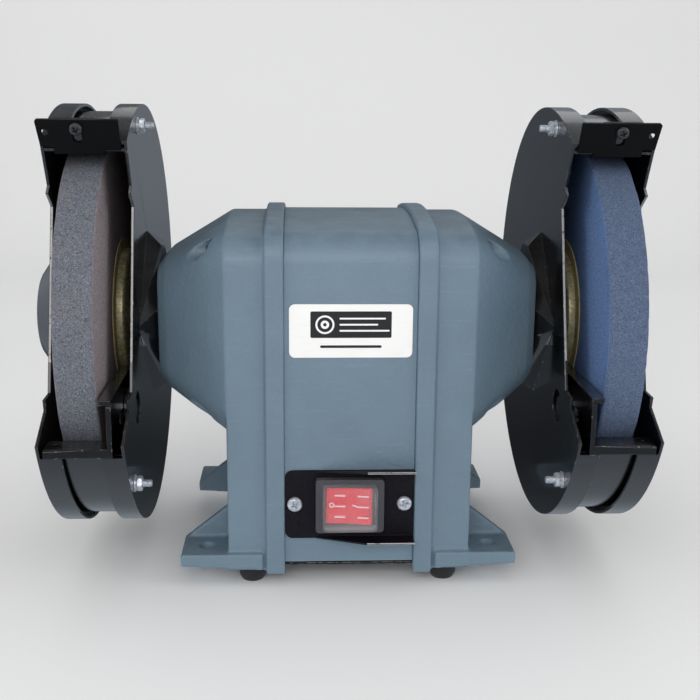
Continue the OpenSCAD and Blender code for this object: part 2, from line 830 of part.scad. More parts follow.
// Inner disc of the right guard: a lipped disc with a pressed boss that meets the casting
module guard_disc() {
    pad_r = 9;
    difference() {
        union() {
            bar_x(guard_r, disc_x, disc_x + sheet);
            ring_x(guard_r - sheet, guard_r, disc_x, disc_x + lip_w);
            diamond(0);
        }
        diamond(sheet);
        opening_cut(disc_x - 1, disc_x + lip_w + 1);
        rest_cut(disc_x + sheet, disc_x + lip_w + 1);
        bar_x(arbor_r + 4, nose_x - 1, disc_x + 5);
        at_guard_screws(guard_screw_r) bar_x(guard_bolt_r + 0.6, nose_x - 1, disc_x + 5);
        at_cover_screws() bar_x(cover_screw_r + 0.3, disc_x - 1, disc_x + 5);
        translate([0, rest_bolt_y, rest_bolt_z]) bar_x(rest_bolt_r + 0.2, disc_x - 1, disc_x + 5);
        translate([0, rest_bolt_y, rest_bolt_z]) bar_x(pad_r, disc_x - 1, rest_web_x - 2);
    }
    // Pad pressed inward to carry the tool rest
    translate([0, rest_bolt_y, rest_bolt_z]) difference() {
        bar_x(pad_r + sheet, disc_x + 0.1, rest_web_x - 0.1);
        bar_x(pad_r, disc_x - 1, rest_web_x - 0.1 - sheet);
        bar_x(rest_bolt_r + 0.2, disc_x - 1, disc_x + 20);
    }
}

module diamond(inset) {
    foot_z = guard_screw_r + 24 - inset;
    foot_y = guard_screw_r + 20 - inset;
    top_z = guard_screw_r + 16 - inset;
    top_y = guard_screw_r + 17 - inset;
    hull() {
        slab_x(nose_x + inset, nose_x + inset + 0.2)
            polygon([[-top_y + 8, -8], [-8, -top_z], [8, -top_z], [top_y - 8, -8],
                     [top_y - 8, 8], [8, top_z], [-8, top_z], [-top_y + 8, 8]]);
        slab_x(disc_x + sheet / 2 + (inset > 0 ? 2 : 0), disc_x + sheet / 2 + 0.2 + (inset > 0 ? 2 : 0))
            polygon([[-foot_y, 0], [0, -foot_z], [foot_y, 0], [0, foot_z]]);
    }
}

module guard_disc_right() {
    color(gloss_black) about_spindle() guard_disc();
}

module guard_disc_left() {
    color(gloss_black) about_spindle() mirror([1, 0, 0]) guard_disc();
}

// Rim band between the discs, with the tab that carries the spark arrestor
module guard_band() {
    difference() {
        ring_x(band_r - sheet, band_r, disc_x + sheet, cover_x);
        opening_cut(disc_x, cover_x + 1);
        rest_cut(disc_x, cover_x + 1);
    }
    in_flare() translate([tab_x0, 0, tab_z0]) difference() {
        cube([tab_x1 - tab_x0, sheet, tab_top - tab_z0]);
        translate([(tab_x1 - tab_x0) / 2, -1, arrestor_bolt_u - tab_z0]) rotate([-90, 0, 0])
            cylinder(r = arrestor_bolt_r + 0.2, h = 5);
    }
}

// A frame on the upper flare: +Z runs up the flare, -Y faces forward, X is the spindle's X
module in_flare() translate([0, flare_y, flare_z]) rotate([flare_lean, 0, 0]) children();

arrestor_x0 = disc_x + 2.9;
arrestor_x1 = cover_x + sheet + 0.4;
tab_x0 = disc_x + 14;
tab_x1 = cover_x - 8;
arrestor_top = 38.2;
tab_top = arrestor_top - 0.6;
arrestor_bolt_u = arrestor_top - 4.7;
arrestor_bolt_r = 2;
// Where the band's middle meets the flare plane, along the flare
tab_z0 = flare_reach(band_r - sheet / 2);
arrestor_in = 0.8;
arrestor_out = 6;

// Distance along the flare at which the radius from the spindle is r
function flare_reach(r) =
    let (b = -flare_y * sin(flare_lean) + flare_z * cos(flare_lean),
         c = pow(flare_y, 2) + pow(flare_z, 2) - pow(r, 2))
    -b + sqrt(b * b - c);

module guard_band_right() {
    color(gloss_black) about_spindle() guard_band();
}

module guard_band_left() {
    color(gloss_black) about_spindle() mirror([1, 0, 0]) guard_band();
}

// Outer cover of the right guard: a lipped disc with a domed centre over the spindle nut
module guard_cover() {
    base_r = 46;
    top_r = 26;
    f = 5;
    difference() {
        union() {
            bar_x(guard_r, cover_x, cover_x + sheet);
            ring_x(guard_r - sheet, guard_r, cover_x + sheet - lip_w, cover_x + sheet);
            turned_x(concat([[0, cover_x + 0.1], [base_r, cover_x + 0.1], [base_r, cover_x + sheet]],
                            arc([top_r - f, dome_x - f], f, 50, 90, 4), [[0, dome_x]]));
        }
        turned_x(concat([[0, cover_x - 1], [base_r - sheet, cover_x - 1], [base_r - sheet, cover_x]],
                        arc([top_r - f, dome_x - f], f - sheet, 50, 90, 4), [[0, dome_x - sheet]]));
        opening_cut(cover_x - lip_w, cover_x + 2);
        rest_cut(cover_x - lip_w, cover_x);
        at_cover_screws() bar_x(cover_screw_r + 0.3, cover_x - 1, cover_x + 5);
    }
}

module guard_cover_right() {
    color(gloss_black) about_spindle() guard_cover();
}

module guard_cover_left() {
    color(gloss_black) about_spindle() mirror([1, 0, 0]) guard_cover();
}

// Screws that hold the guard bosses to the castings
module guard_screws() {
    color(zinc) about_spindle() both_ends()
        at_guard_screws(guard_screw_r) screw_x(nose_x + sheet, guard_bolt_r, 4.2, 2.6, 11);
}

module cover_screws() {
    color(zinc) about_spindle() both_ends()
        at_cover_screws() screw_x(cover_x + sheet, cover_screw_r, 4, 2.6, cover_x + sheet - disc_x + 9);
}

module cover_nuts() {
    color(zinc) about_spindle() both_ends() at_cover_screws() {
        ring_x(cover_screw_r, 4.5, disc_x - 1, disc_x);
        difference() {
            hex_x(7, disc_x - 4.2, disc_x - 1);
            bar_x(cover_screw_r, disc_x - 5, disc_x);
        }
    }
}

// ---------- spark arrestors ----------

module spark_arrestor() {
    gap = 0.2;
    tongue = flare_reach(wheel_d / 2 + arrestor_gap) + 0.6;
    shoulder = tongue + 4;
    eye = 1.6;
    in_flare() difference() {
        translate([0, -gap, 0]) rotate([90, 0, 0]) linear_extrude(height = sheet)
            polygon([[arrestor_x0, shoulder - 2], [wheel_x - 3, shoulder - 2], [wheel_x - 3, tongue],
                     [wheel_end_x + 2, tongue], [wheel_end_x + 2, shoulder],
                     [arrestor_x1 - 1, shoulder], [arrestor_x1, arrestor_top - 1],
                     [arrestor_x1 - 1, arrestor_top], [arrestor_x0, arrestor_top]]);
        // Slot for setting the gap to the wheel
        translate([(tab_x0 + tab_x1) / 2, 1, 0]) rotate([90, 0, 0]) linear_extrude(height = 6)
            polygon(concat(arc([0, arrestor_bolt_u + arrestor_in + 0.3], arrestor_bolt_r + 0.2, 0, 180, 8),
                           arc([0, arrestor_bolt_u - arrestor_out - 0.3], arrestor_bolt_r + 0.2,
                               180, 360, 8)));
        // Hole for an eye shield
        translate([arrestor_x1 - eye - 2.6, 2, arrestor_top - 7]) rotate([90, 0, 0])
            cylinder(r = eye, h = 6);
    }
}

module spark_arrestor_right() {
    color(gloss_black) about_spindle() spark_arrestor();
}

module spark_arrestor_left() {
    color(gloss_black) about_spindle() mirror([1, 0, 0]) spark_arrestor();
}

module arrestor_screws() {
    color(gloss_black) about_spindle() both_ends() in_flare()
        translate([(tab_x0 + tab_x1) / 2, -0.2 - sheet - 0.1, arrestor_bolt_u]) rotate([90, 0, 0])
            screw(arrestor_bolt_r, 3.3, 2.2, 2 * sheet + 1);
}

// ---------- tool rests ----------

rest_tip_x = cover_x - 1.6;
rest_back_end = -34;
rest_slot_front = rest_bolt_y - rest_bolt_r - rest_in - 18;
rest_slot_back = rest_bolt_y + rest_bolt_r + rest_out + 1;

module tool_rest() {
    top = -25;
    turn = 4.5;
    eye = 1.6;
    x0 = rest_web_x;
    difference() {
        union() {
            // Web beside the wheel, with a turned edge above
            slab_x(x0, x0 + rest_t) polygon([
                [rest_back_end, top], [-rest_front_y + 1, top], [-rest_front_y, top - 1],
                [-rest_front_y, lip_top_z + 0.8], [rest_back_end, lip_top_z + 0.8]
            ]);
            translate([x0, -rest_front_y, top - 0.1])
                cube([wheel_x - 2 - x0, rest_front_y + rest_back_end, rest_t]);
            // Plate that the work rests on, with its front edge turned down
            translate([x0 + 0.1, -rest_front_y, -rest_drop - rest_t])
                cube([rest_tip_x - x0 - 0.1, rest_d, rest_t]);
            translate([x0 + 0.1, -rest_front_y, -rest_drop - turn])
                cube([rest_tip_x - x0 - 0.1, 2, turn]);
        }
        // Slot for setting the gap to the wheel
        slab_x(x0 - 1, x0 + rest_t + 1) polygon(concat(
            arc([rest_slot_back - rest_bolt_r, rest_bolt_z], rest_bolt_r + 0.2, -90, 90, 8),
            arc([rest_slot_front + rest_bolt_r, rest_bolt_z], rest_bolt_r + 0.2, 90, 270, 8)));
        translate([rest_tip_x - 5, -rest_front_y + rest_d / 2, -rest_drop - 5])
            cylinder(r = eye, h = 6);
    }
}

module tool_rest_right() {
    color(gloss_black) about_spindle() tool_rest();
}

module tool_rest_left() {
    color(gloss_black) about_spindle() mirror([1, 0, 0]) tool_rest();
}

module tool_rest_bolts() {
    floor_x = rest_web_x - 0.1 - sheet;
    end_x = rest_web_x + rest_t + 4.6;
    color(gloss_black) about_spindle() both_ends() translate([0, rest_bolt_y, rest_bolt_z]) {
        bar_x(rest_bolt_r, floor_x - 0.1, end_x);
        hex_x(10, floor_x - 3.4, floor_x);
    }
}

module tool_rest_nuts() {
    x0 = rest_web_x + rest_t + 0.05;
    color(zinc) about_spindle() both_ends() translate([0, rest_bolt_y, rest_bolt_z]) {
        ring_x(rest_bolt_r, 6, x0, x0 + 1);
        difference() {
            hex_x(10, x0 + 1, x0 + 4.2);
            bar_x(rest_bolt_r, x0, x0 + 6);
        }
    }
}

// ---------- wheels ----------

module wheel() {
    ring_x(arbor_r + arbor_gap, wheel_d / 2, wheel_x, wheel_end_x);
}

module grinding_wheel_right() {
    color([0.36, 0.4, 0.5]) about_spindle() wheel();
}

module grinding_wheel_left() {
    color([0.45, 0.44, 0.45]) about_spindle() mirror([1, 0, 0]) wheel();
}

module blotters() {
    color([0.6, 0.55, 0.35]) about_spindle() both_ends() {
        ring_x(arbor_r + arbor_gap, blotter_r, wheel_x - blotter_t, wheel_x);
        ring_x(arbor_r + arbor_gap, blotter_r, wheel_end_x, wheel_end_x + blotter_t);
    }
}

// A dished flange: only its outer ring presses on the wheel
function flange_profile(x, t, dir) = [
    [arbor_r + arbor_gap, x + dir * t], [arbor_r + arbor_gap, x + dir * 1.5],
    [clamp_r - 9, x + dir * 1.5], [clamp_r - 9, x], [clamp_r, x],
    [clamp_r, x + dir * (t - 3)], [clamp_r - 2, x + dir * (t - 2)], [18, x + dir * t]
];

module inner_flanges() {
    color([0.72, 0.62, 0.36]) about_spindle() both_ends()
        turned_x(flange_profile(wheel_x - blotter_t, clamp_t, -1));
}

module outer_flanges() {
    color([0.72, 0.62, 0.36]) about_spindle() both_ends()
        turned_x(flange_profile(wheel_end_x + blotter_t, clamp_t, 1));
}

// Left-hand thread on the left, right-hand on the right
module spindle_nuts() {
    color(zinc) about_spindle() both_ends() difference() {
        hex_x(nut_flats, nut_x, nut_x + nut_t);
        bar_x(arbor_r + arbor_gap, nut_x - 1, nut_x + nut_t + 1);
    }
}

casting_left();
casting_right();
centre_shell();
base_cover();
base_screws();
rubber_feet();
through_bolts();
through_bolt_nuts();
bearing_outer_rings();
bearing_inner_rings();
bearing_balls();
bearing_spring_washer();
stator_core();
stator_windings();
rotor_core();
rotor_end_rings();
spindle();
capacitor();
capacitor_clip();
cable_gland();
earth_screw();
switch_plate();
switch_plate_screws();
switch_body();
switch_terminals();
rocker();
rocker_boot();
label_plate();
guard_disc_left();
guard_disc_right();
guard_band_left();
guard_band_right();
guard_cover_left();
guard_cover_right();
guard_screws();
cover_screws();
cover_nuts();
spark_arrestor_left();
spark_arrestor_right();
arrestor_screws();
tool_rest_left();
tool_rest_right();
tool_rest_bolts();
tool_rest_nuts();
grinding_wheel_left();
grinding_wheel_right();
blotters();
inner_flanges();
outer_flanges();
spindle_nuts();
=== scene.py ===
"""Bench grinder with two 200 mm wheels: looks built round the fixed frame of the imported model.

Every size is in metres. +X runs along the spindle to the right, -Y faces the user, +Z is up.
"""

import json
import math

import bmesh
import bpy
from mathutils import Matrix, Vector, noise

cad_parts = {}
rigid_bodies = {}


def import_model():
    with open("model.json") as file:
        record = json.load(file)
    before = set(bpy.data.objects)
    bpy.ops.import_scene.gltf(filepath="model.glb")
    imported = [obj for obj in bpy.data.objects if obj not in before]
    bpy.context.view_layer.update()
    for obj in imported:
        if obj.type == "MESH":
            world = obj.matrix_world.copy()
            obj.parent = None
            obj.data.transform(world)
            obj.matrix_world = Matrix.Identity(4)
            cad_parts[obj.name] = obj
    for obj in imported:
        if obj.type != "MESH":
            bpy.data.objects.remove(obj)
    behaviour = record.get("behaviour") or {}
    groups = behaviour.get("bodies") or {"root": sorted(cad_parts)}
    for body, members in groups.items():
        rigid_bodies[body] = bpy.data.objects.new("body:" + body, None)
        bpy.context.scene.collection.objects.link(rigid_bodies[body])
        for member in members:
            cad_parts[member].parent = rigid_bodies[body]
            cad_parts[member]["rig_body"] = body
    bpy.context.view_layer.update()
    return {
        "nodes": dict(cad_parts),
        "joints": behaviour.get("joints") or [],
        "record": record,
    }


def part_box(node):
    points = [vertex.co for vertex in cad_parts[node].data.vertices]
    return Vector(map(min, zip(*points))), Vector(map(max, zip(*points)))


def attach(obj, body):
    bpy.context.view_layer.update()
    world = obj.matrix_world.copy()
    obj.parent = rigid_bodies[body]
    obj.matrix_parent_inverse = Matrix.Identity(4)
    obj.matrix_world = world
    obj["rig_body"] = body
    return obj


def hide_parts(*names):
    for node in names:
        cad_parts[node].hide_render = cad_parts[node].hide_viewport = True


bl_info = {
    "name": "Bench Grinder",
    "version": (1, 0, 0),
    "blender": (4, 5, 0),
    "location": "View3D > Sidebar > Grinder",
    "description": "Builds the pieces, finishes and studio of a twin-wheel bench grinder",
    "category": "Object",
}

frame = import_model()
RECORD = frame["record"]
NODES = frame["nodes"]
SLOT_OF = {part["node"]: part["material_slot"] for part in RECORD["subparts"]}
JOINT = {joint["name"]: joint for joint in frame["joints"]}

MM = 0.001
FULL_TURN = 2 * math.pi
ALONG_X = Vector((1, 0, 0))
UP = Vector((0, 0, 1))
FORWARD = Vector((0, -1, 0))
SPINDLE_AT = Vector(JOINT["spindle_turn"]["pos_m"])
ENDS = (("left", -1), ("right", 1))

# Thread pitches, and how far a shank runs into its own head
M4_PITCH = 0.7 * MM
M5_PITCH = 0.8 * MM
M6_PITCH = 1.0 * MM
INTO_HEAD = 0.2 * MM


def linear(hex_colour):
    """Linear RGB of a hex colour such as #748998."""
    channels = [int(hex_colour[i : i + 2], 16) / 255 for i in (1, 3, 5)]
    return tuple(c / 12.92 if c <= 0.04045 else ((c + 0.055) / 1.055) ** 2.4 for c in channels)


# ---------------------------------------------------------------- settings


def colour_setting(name, description, hex_colour):
    return bpy.props.FloatVectorProperty(
        name=name,
        description=description,
        subtype="COLOR",
        size=3,
        min=0,
        max=1,
        default=linear(hex_colour),
    )


def length_setting(name, description, default_mm):
    return bpy.props.FloatProperty(
        name=name,
        description=description,
        unit="LENGTH",
        subtype="DISTANCE",
        precision=5,
        min=0,
        default=default_mm * MM,
    )


class GrinderFinishSettings(bpy.types.PropertyGroup):
    """Colours and wear of the finishes"""

    enamel: colour_setting("Enamel", "Textured enamel on the castings and shell", "#6c8190")
    gloss_black: colour_setting("Gloss black", "Paint on the wheel guards", "#08080a")
    satin_black: colour_setting("Satin black", "Paint on the tool rests and arrestors", "#0b0b0d")
    coarse_wheel: colour_setting("Coarse wheel", "Grain of the coarse, left wheel", "#676b74")
    fine_wheel: colour_setting("Fine wheel", "Grain of the fine, right wheel", "#54637c")
    rocker_red: colour_setting("Rocker red", "Moulded rocker of the switch", "#c91c33")
    label: colour_setting("Label", "Printed label on the shell", "#f7f7f5")
    wear: bpy.props.FloatProperty(
        name="Edge wear",
        description="Share of the sharp edges where paint has rubbed away",
        subtype="FACTOR",
        min=0,
        max=1,
        default=0.5,
    )


class GrinderDetailSettings(bpy.types.PropertyGroup):
    """Small sizes that the frame leaves to the maker"""

    casting_grain: length_setting("Casting grain", "Size below which the casting's edges are soft", 0.8)
    sheet_edge: length_setting("Sheet edge", "Rounding of sheet steel edges", 0.3)
    moulded_edge: length_setting("Moulded edge", "Rounding of moulded plastic edges", 0.5)
    fine_pitch: length_setting("Fine pitch", "Thread pitch of M4 screws", 0.7)
    coarse_pitch: length_setting("Coarse pitch", "Thread pitch of the spindle", 2.0)
    wheel_corner: length_setting("Wheel corner", "Rounding of the wheels' corners", 1.3)
    wheel_chip: length_setting("Wheel chips", "Depth of chips along the wheels' corners", 0.7)


class GrinderStudioSettings(bpy.types.PropertyGroup):
    """Camera and light"""

    camera_place: bpy.props.FloatVectorProperty(
        name="Camera place",
        description="Where the camera stands",
        subtype="TRANSLATION",
        unit="LENGTH",
        size=3,
        default=(-0.02748, -0.62040, 0.26119),
    )
    camera_yaw: bpy.props.FloatProperty(
        name="Yaw", description="Turn to the right of straight ahead", unit="ROTATION", default=0.0495
    )
    camera_pitch: bpy.props.FloatProperty(
        name="Pitch", description="Tilt below the horizon", unit="ROTATION", default=0.2321
    )
    camera_roll: bpy.props.FloatProperty(
        name="Roll", description="Roll about the line of sight", unit="ROTATION", default=0.0087
    )
    lens: bpy.props.FloatProperty(
        name="Lens", description="Focal length", unit="CAMERA", min=20, max=200, default=55.67
    )
    key_light: bpy.props.FloatProperty(
        name="Key light", description="Power of the front softbox", unit="POWER", min=0, default=8.4
    )
    fill_light: bpy.props.FloatProperty(
        name="Fill light", description="Power of each side softbox", unit="POWER", min=0, default=3.0
    )
    room_light: bpy.props.FloatProperty(
        name="Room light", description="Strength of the even light of the room", min=0, default=0.62
    )
    gloss_light: bpy.props.FloatProperty(
        name="Gloss light", description="Strength of the dark room seen in gloss", min=0, default=0.02
    )
    floor: colour_setting("Floor", "Pale studio floor", "#f6f6f6")


def finishes():
    return bpy.context.scene.grinder_finish


def details():
    return bpy.context.scene.grinder_detail


def studio():
    return bpy.context.scene.grinder_studio


# ---------------------------------------------------------------- node helpers


def add_node(tree, kind, values=None, **attributes):
    """A shader node with its attributes and input values set."""
    made = tree.nodes.new(kind)
    for name, value in attributes.items():
        setattr(made, name, value)
    for name, value in (values or {}).items():
        made.inputs[name].default_value = value
    return made


def join(tree, source, target):
    tree.links.new(source, target)


def rgba(colour, factor=1.0):
    return (colour[0] * factor, colour[1] * factor, colour[2] * factor, 1)


def new_group(name, inputs, outputs):
    """An empty shader node group; inputs are (name, kind, default) and outputs (name, kind)."""
    tree = bpy.data.node_groups.new(name, "ShaderNodeTree")
    for label, kind, default in inputs:
        socket = tree.interface.new_socket(label, in_out="INPUT", socket_type="NodeSocket" + kind)
        socket.default_value = default
    for label, kind in outputs:
        tree.interface.new_socket(label, in_out="OUTPUT", socket_type="NodeSocket" + kind)
    return tree, tree.nodes.new("NodeGroupInput"), tree.nodes.new("NodeGroupOutput")


def place_group(tree, name, **values):
    made = tree.nodes.new("ShaderNodeGroup")
    made.node_tree = bpy.data.node_groups.get(name) or GROUP_BUILDERS[name](name)
    for label, value in values.items():
        made.inputs[label.replace("_", " ")].default_value = value
    return made


def math_node(tree, operation, first, second=None, clamp=False):
    made = add_node(tree, "ShaderNodeMath", operation=operation, use_clamp=clamp)
    for index, value in enumerate((first, second)):
        if isinstance(value, (int, float)):
            made.inputs[index].default_value = value
        elif value is not None:
            join(tree, value, made.inputs[index])
    return made.outputs[0]


def multiply_add(tree, value, factor, added):
    """value x factor + added, where added is a number or a socket."""
    total = math_node(tree, "MULTIPLY_ADD", value, factor)
    if isinstance(added, (int, float)):
        total.node.inputs[2].default_value = added
    else:
        join(tree, added, total.node.inputs[2])
    return total


def band_mask(tree, value, low, high):
    """0 below low, 1 above high and smooth between; value is an output socket."""
    made = add_node(tree, "ShaderNodeMapRange", interpolation_type="SMOOTHSTEP")
    join(tree, value, made.inputs["Value"])
    for label, bound in (("From Min", low), ("From Max", high)):
        if isinstance(bound, (int, float)):
            made.inputs[label].default_value = bound
        else:
            join(tree, bound, made.inputs[label])
    return made.outputs["Result"]


def own_coordinates(tree, scale=(1, 1, 1)):
    """Coordinates that travel with the piece, in metres times scale."""
    source = add_node(tree, "ShaderNodeTexCoord")
    mapping = add_node(tree, "ShaderNodeMapping", {"Scale": scale})
    join(tree, source.outputs["Object"], mapping.inputs["Vector"])
    return mapping.outputs["Vector"]


def texture(tree, kind, vector, scale, values=None, **attributes):
    """A texture node on a vector socket; scale, per metre, is a number or a socket."""
    made = add_node(tree, kind, values, **attributes)
    join(tree, vector, made.inputs["Vector"])
    if isinstance(scale, (int, float)):
        made.inputs["Scale"].default_value = scale
    else:
        join(tree, scale, made.inputs["Scale"])
    return made


def separate_axes(tree, vector):
    made = add_node(tree, "ShaderNodeSeparateXYZ")
    join(tree, vector, made.inputs["Vector"])
    return made


def grain(tree, vector, scale, detail=2.0, roughness=0.5, distortion=0.0):
    """Fractal noise from 0 to 1."""
    values = {"Detail": detail, "Roughness": roughness, "Distortion": distortion}
    return texture(tree, "ShaderNodeTexNoise", vector, scale, values).outputs["Fac"]


def mix_colour(tree, mask, first, second):
    """Mixes two colours (values or sockets) by a mask socket or number."""
    made = add_node(tree, "ShaderNodeMix", data_type="RGBA")
    for socket, value in ((made.inputs[0], mask), (made.inputs[6], first), (made.inputs[7], second)):
        if isinstance(value, (int, float, tuple)):
            socket.default_value = value
        else:
            join(tree, value, socket)
    return made.outputs[2]


# ---------------------------------------------------------------- shared effects


def group_orange_peel(name):
    """Soft dimples of sprayed enamel, and a slow mottle."""
    tree, given, out = new_group(
        name, [("Size", "Float", 0.0025)], [("Height", "Float"), ("Mottle", "Float")]
    )
    where = own_coordinates(tree)
    per_metre = math_node(tree, "DIVIDE", 1.0, given.outputs["Size"])
    coarse = grain(tree, where, per_metre, 2.0, 0.45)
    fine = grain(tree, where, math_node(tree, "MULTIPLY", per_metre, 3.1), 3.0, 0.6)
    join(tree, multiply_add(tree, fine, 0.45, coarse), out.inputs["Height"])
    join(tree, grain(tree, where, 26.0, 3.0, 0.6), out.inputs["Mottle"])
    return tree


def group_edge_wear_and_highlight(name):
    """Patches on the faces marked by the edge attribute: rubbed-off paint, and on the switch plate painted
    highlights.
    """
    tree, given, out = new_group(
        name, [("Amount", "Float", 0.5), ("Patch", "Float", 0.004)], [("Mask", "Float")]
    )
    edge = add_node(tree, "ShaderNodeAttribute", attribute_name="edge_wear", attribute_type="GEOMETRY")
    per_metre = math_node(tree, "DIVIDE", 1.0, given.outputs["Patch"])
    patches = grain(tree, own_coordinates(tree), per_metre, 4.0, 0.65)
    low = multiply_add(tree, given.outputs["Amount"], -0.5, 0.76)
    rubbed = band_mask(tree, patches, low, math_node(tree, "ADD", low, 0.08))
    join(tree, math_node(tree, "MULTIPLY", rubbed, edge.outputs["Fac"], True), out.inputs["Mask"])
    return tree


def group_settled_dust_and_top_shade(name):
    """Dust on what faces up, in clouds; on the enamel the same mask paints shade on the tops."""
    tree, given, out = new_group(name, [("Amount", "Float", 0.3)], [("Mask", "Float")])
    source = add_node(tree, "ShaderNodeTexCoord")
    upward = band_mask(tree, separate_axes(tree, source.outputs["Normal"]).outputs["Z"], 0.25, 0.95)
    patches = grain(tree, source.outputs["Object"], 45.0, 5.0, 0.65)
    cloud = band_mask(tree, patches, 0.3, 0.75)
    settled = math_node(tree, "MULTIPLY", upward, cloud)
    join(tree, math_node(tree, "MULTIPLY", settled, given.outputs["Amount"], True), out.inputs["Mask"])
    return tree


def group_scratches(name):
    """Fine scratches in two directions."""
    tree, given, out = new_group(
        name, [("Amount", "Float", 0.3), ("Per metre", "Float", 60.0)], [("Mask", "Float")]
    )
    total = None
    for turn, stretch in ((0.5, 18.0), (2.1, 26.0)):
        source = add_node(tree, "ShaderNodeTexCoord")
        placing = {"Rotation": (turn, turn * 0.6, turn), "Scale": (1, stretch, stretch)}
        mapping = add_node(tree, "ShaderNodeMapping", placing)
        join(tree, source.outputs["Object"], mapping.inputs["Vector"])
        lines = grain(tree, mapping.outputs["Vector"], given.outputs["Per metre"], 1.0, 0.5, 0.4)
        thin = band_mask(tree, lines, 0.68, 0.72)
        total = thin if total is None else math_node(tree, "MAXIMUM", total, thin)
    join(tree, math_node(tree, "MULTIPLY", total, given.outputs["Amount"], True), out.inputs["Mask"])
    return tree


def group_turned_rings(name):
    """Rings left by a lathe, about the spindle's own axis."""
    tree, given, out = new_group(name, [("Per metre", "Float", 1500.0)], [("Height", "Float")])
    source = add_node(tree, "ShaderNodeTexCoord")
    centred = add_node(tree, "ShaderNodeVectorMath", operation="SUBTRACT")
    join(tree, source.outputs["Object"], centred.inputs[0])
    centred.inputs[1].default_value = SPINDLE_AT
    split = separate_axes(tree, centred.outputs["Vector"])
    across = add_node(tree, "ShaderNodeCombineXYZ")
    join(tree, split.outputs["Y"], across.inputs["X"])
    join(tree, split.outputs["Z"], across.inputs["Y"])
    radius = add_node(tree, "ShaderNodeVectorMath", operation="LENGTH")
    join(tree, across.outputs["Vector"], radius.inputs[0])
    place = add_node(tree, "ShaderNodeCombineXYZ")
    join(tree, split.outputs["X"], place.inputs["X"])
    join(tree, radius.outputs["Value"], place.inputs["Y"])
    rings = grain(tree, place.outputs["Vector"], given.outputs["Per metre"], 3.0, 0.7)
    join(tree, rings, out.inputs["Height"])
    return tree


def group_abrasive_grit(name):
    """Packed grains with pores and a few bright facets."""
    tree, given, out = new_group(
        name,
        [("Grain", "Float", 0.0008)],
        [("Tone", "Float"), ("Pore", "Float"), ("Sparkle", "Float"), ("Height", "Float")],
    )
    where = own_coordinates(tree)
    per_metre = math_node(tree, "DIVIDE", 1.0, given.outputs["Grain"])
    cells = texture(tree, "ShaderNodeTexVoronoi", where, per_metre, feature="F1")
    pores = grain(tree, where, math_node(tree, "MULTIPLY", per_metre, 0.55), 4.0, 0.7)
    tone = add_node(tree, "ShaderNodeSeparateColor")
    join(tree, cells.outputs["Color"], tone.inputs["Color"])
    join(tree, tone.outputs["Red"], out.inputs["Tone"])
    pore = band_mask(tree, pores, 0.53, 0.66)
    join(tree, pore, out.inputs["Pore"])
    join(tree, band_mask(tree, tone.outputs["Green"], 0.9, 0.97), out.inputs["Sparkle"])
    domed = math_node(tree, "SUBTRACT", tone.outputs["Red"], cells.outputs["Distance"])
    join(tree, math_node(tree, "SUBTRACT", domed, pore), out.inputs["Height"])
    return tree


def group_plated_flakes(name):
    """Crystal flakes of zinc plate, and its clouding."""
    tree, given, out = new_group(
        name, [("Size", "Float", 0.0012)], [("Tone", "Float"), ("Cloud", "Float")]
    )
    where = own_coordinates(tree)
    per_metre = math_node(tree, "DIVIDE", 1.0, given.outputs["Size"])
    cells = texture(tree, "ShaderNodeTexVoronoi", where, per_metre, feature="F1")
    tone = add_node(tree, "ShaderNodeSeparateColor")
    join(tree, cells.outputs["Color"], tone.inputs["Color"])
    join(tree, tone.outputs["Red"], out.inputs["Tone"])
    join(tree, grain(tree, where, 160.0, 3.0, 0.6, 0.6), out.inputs["Cloud"])
    return tree


def group_moulded_grain(name):
    """Fine stipple of a moulded skin, and a slow change of sheen."""
    tree, given, out = new_group(
        name, [("Size", "Float", 0.0004)], [("Height", "Float"), ("Sheen", "Float")]
    )
    where = own_coordinates(tree)
    per_metre = math_node(tree, "DIVIDE", 1.0, given.outputs["Size"])
    join(tree, grain(tree, where, per_metre, 2.0, 0.7), out.inputs["Height"])
    join(tree, grain(tree, where, 55.0, 4.0, 0.6), out.inputs["Sheen"])
    return tree


GROUP_BUILDERS = {
    "Orange peel": group_orange_peel,
    "Edge wear": group_edge_wear_and_highlight,
    "Settled dust": group_settled_dust_and_top_shade,
    "Scratches": group_scratches,
    "Turned rings": group_turned_rings,
    "Abrasive grit": group_abrasive_grit,
    "Plated flakes": group_plated_flakes,
    "Moulded grain": group_moulded_grain,
}


# ---------------------------------------------------------------- finishes


def new_material(name, **constants):
    material = bpy.data.materials.new(name)
    material.use_nodes = True
    shader = material.node_tree.nodes["Principled BSDF"]
    for label, value in constants.items():
        shader.inputs[label.replace("_", " ")].default_value = value
    return material, material.node_tree, shader


def vary(tree, mask, low, high):
    """A value that runs from low to high with a mask socket."""
    made = add_node(tree, "ShaderNodeMapRange", {"To Min": low, "To Max": high})
    join(tree, mask, made.inputs["Value"])
    return made.outputs["Result"]


def bump(tree, shader, height, strength, distance):
    made = add_node(tree, "ShaderNodeBump", {"Strength": strength, "Distance": distance})
    join(tree, height, made.inputs["Height"])
    join(tree, made.outputs["Normal"], shader.inputs["Normal"])


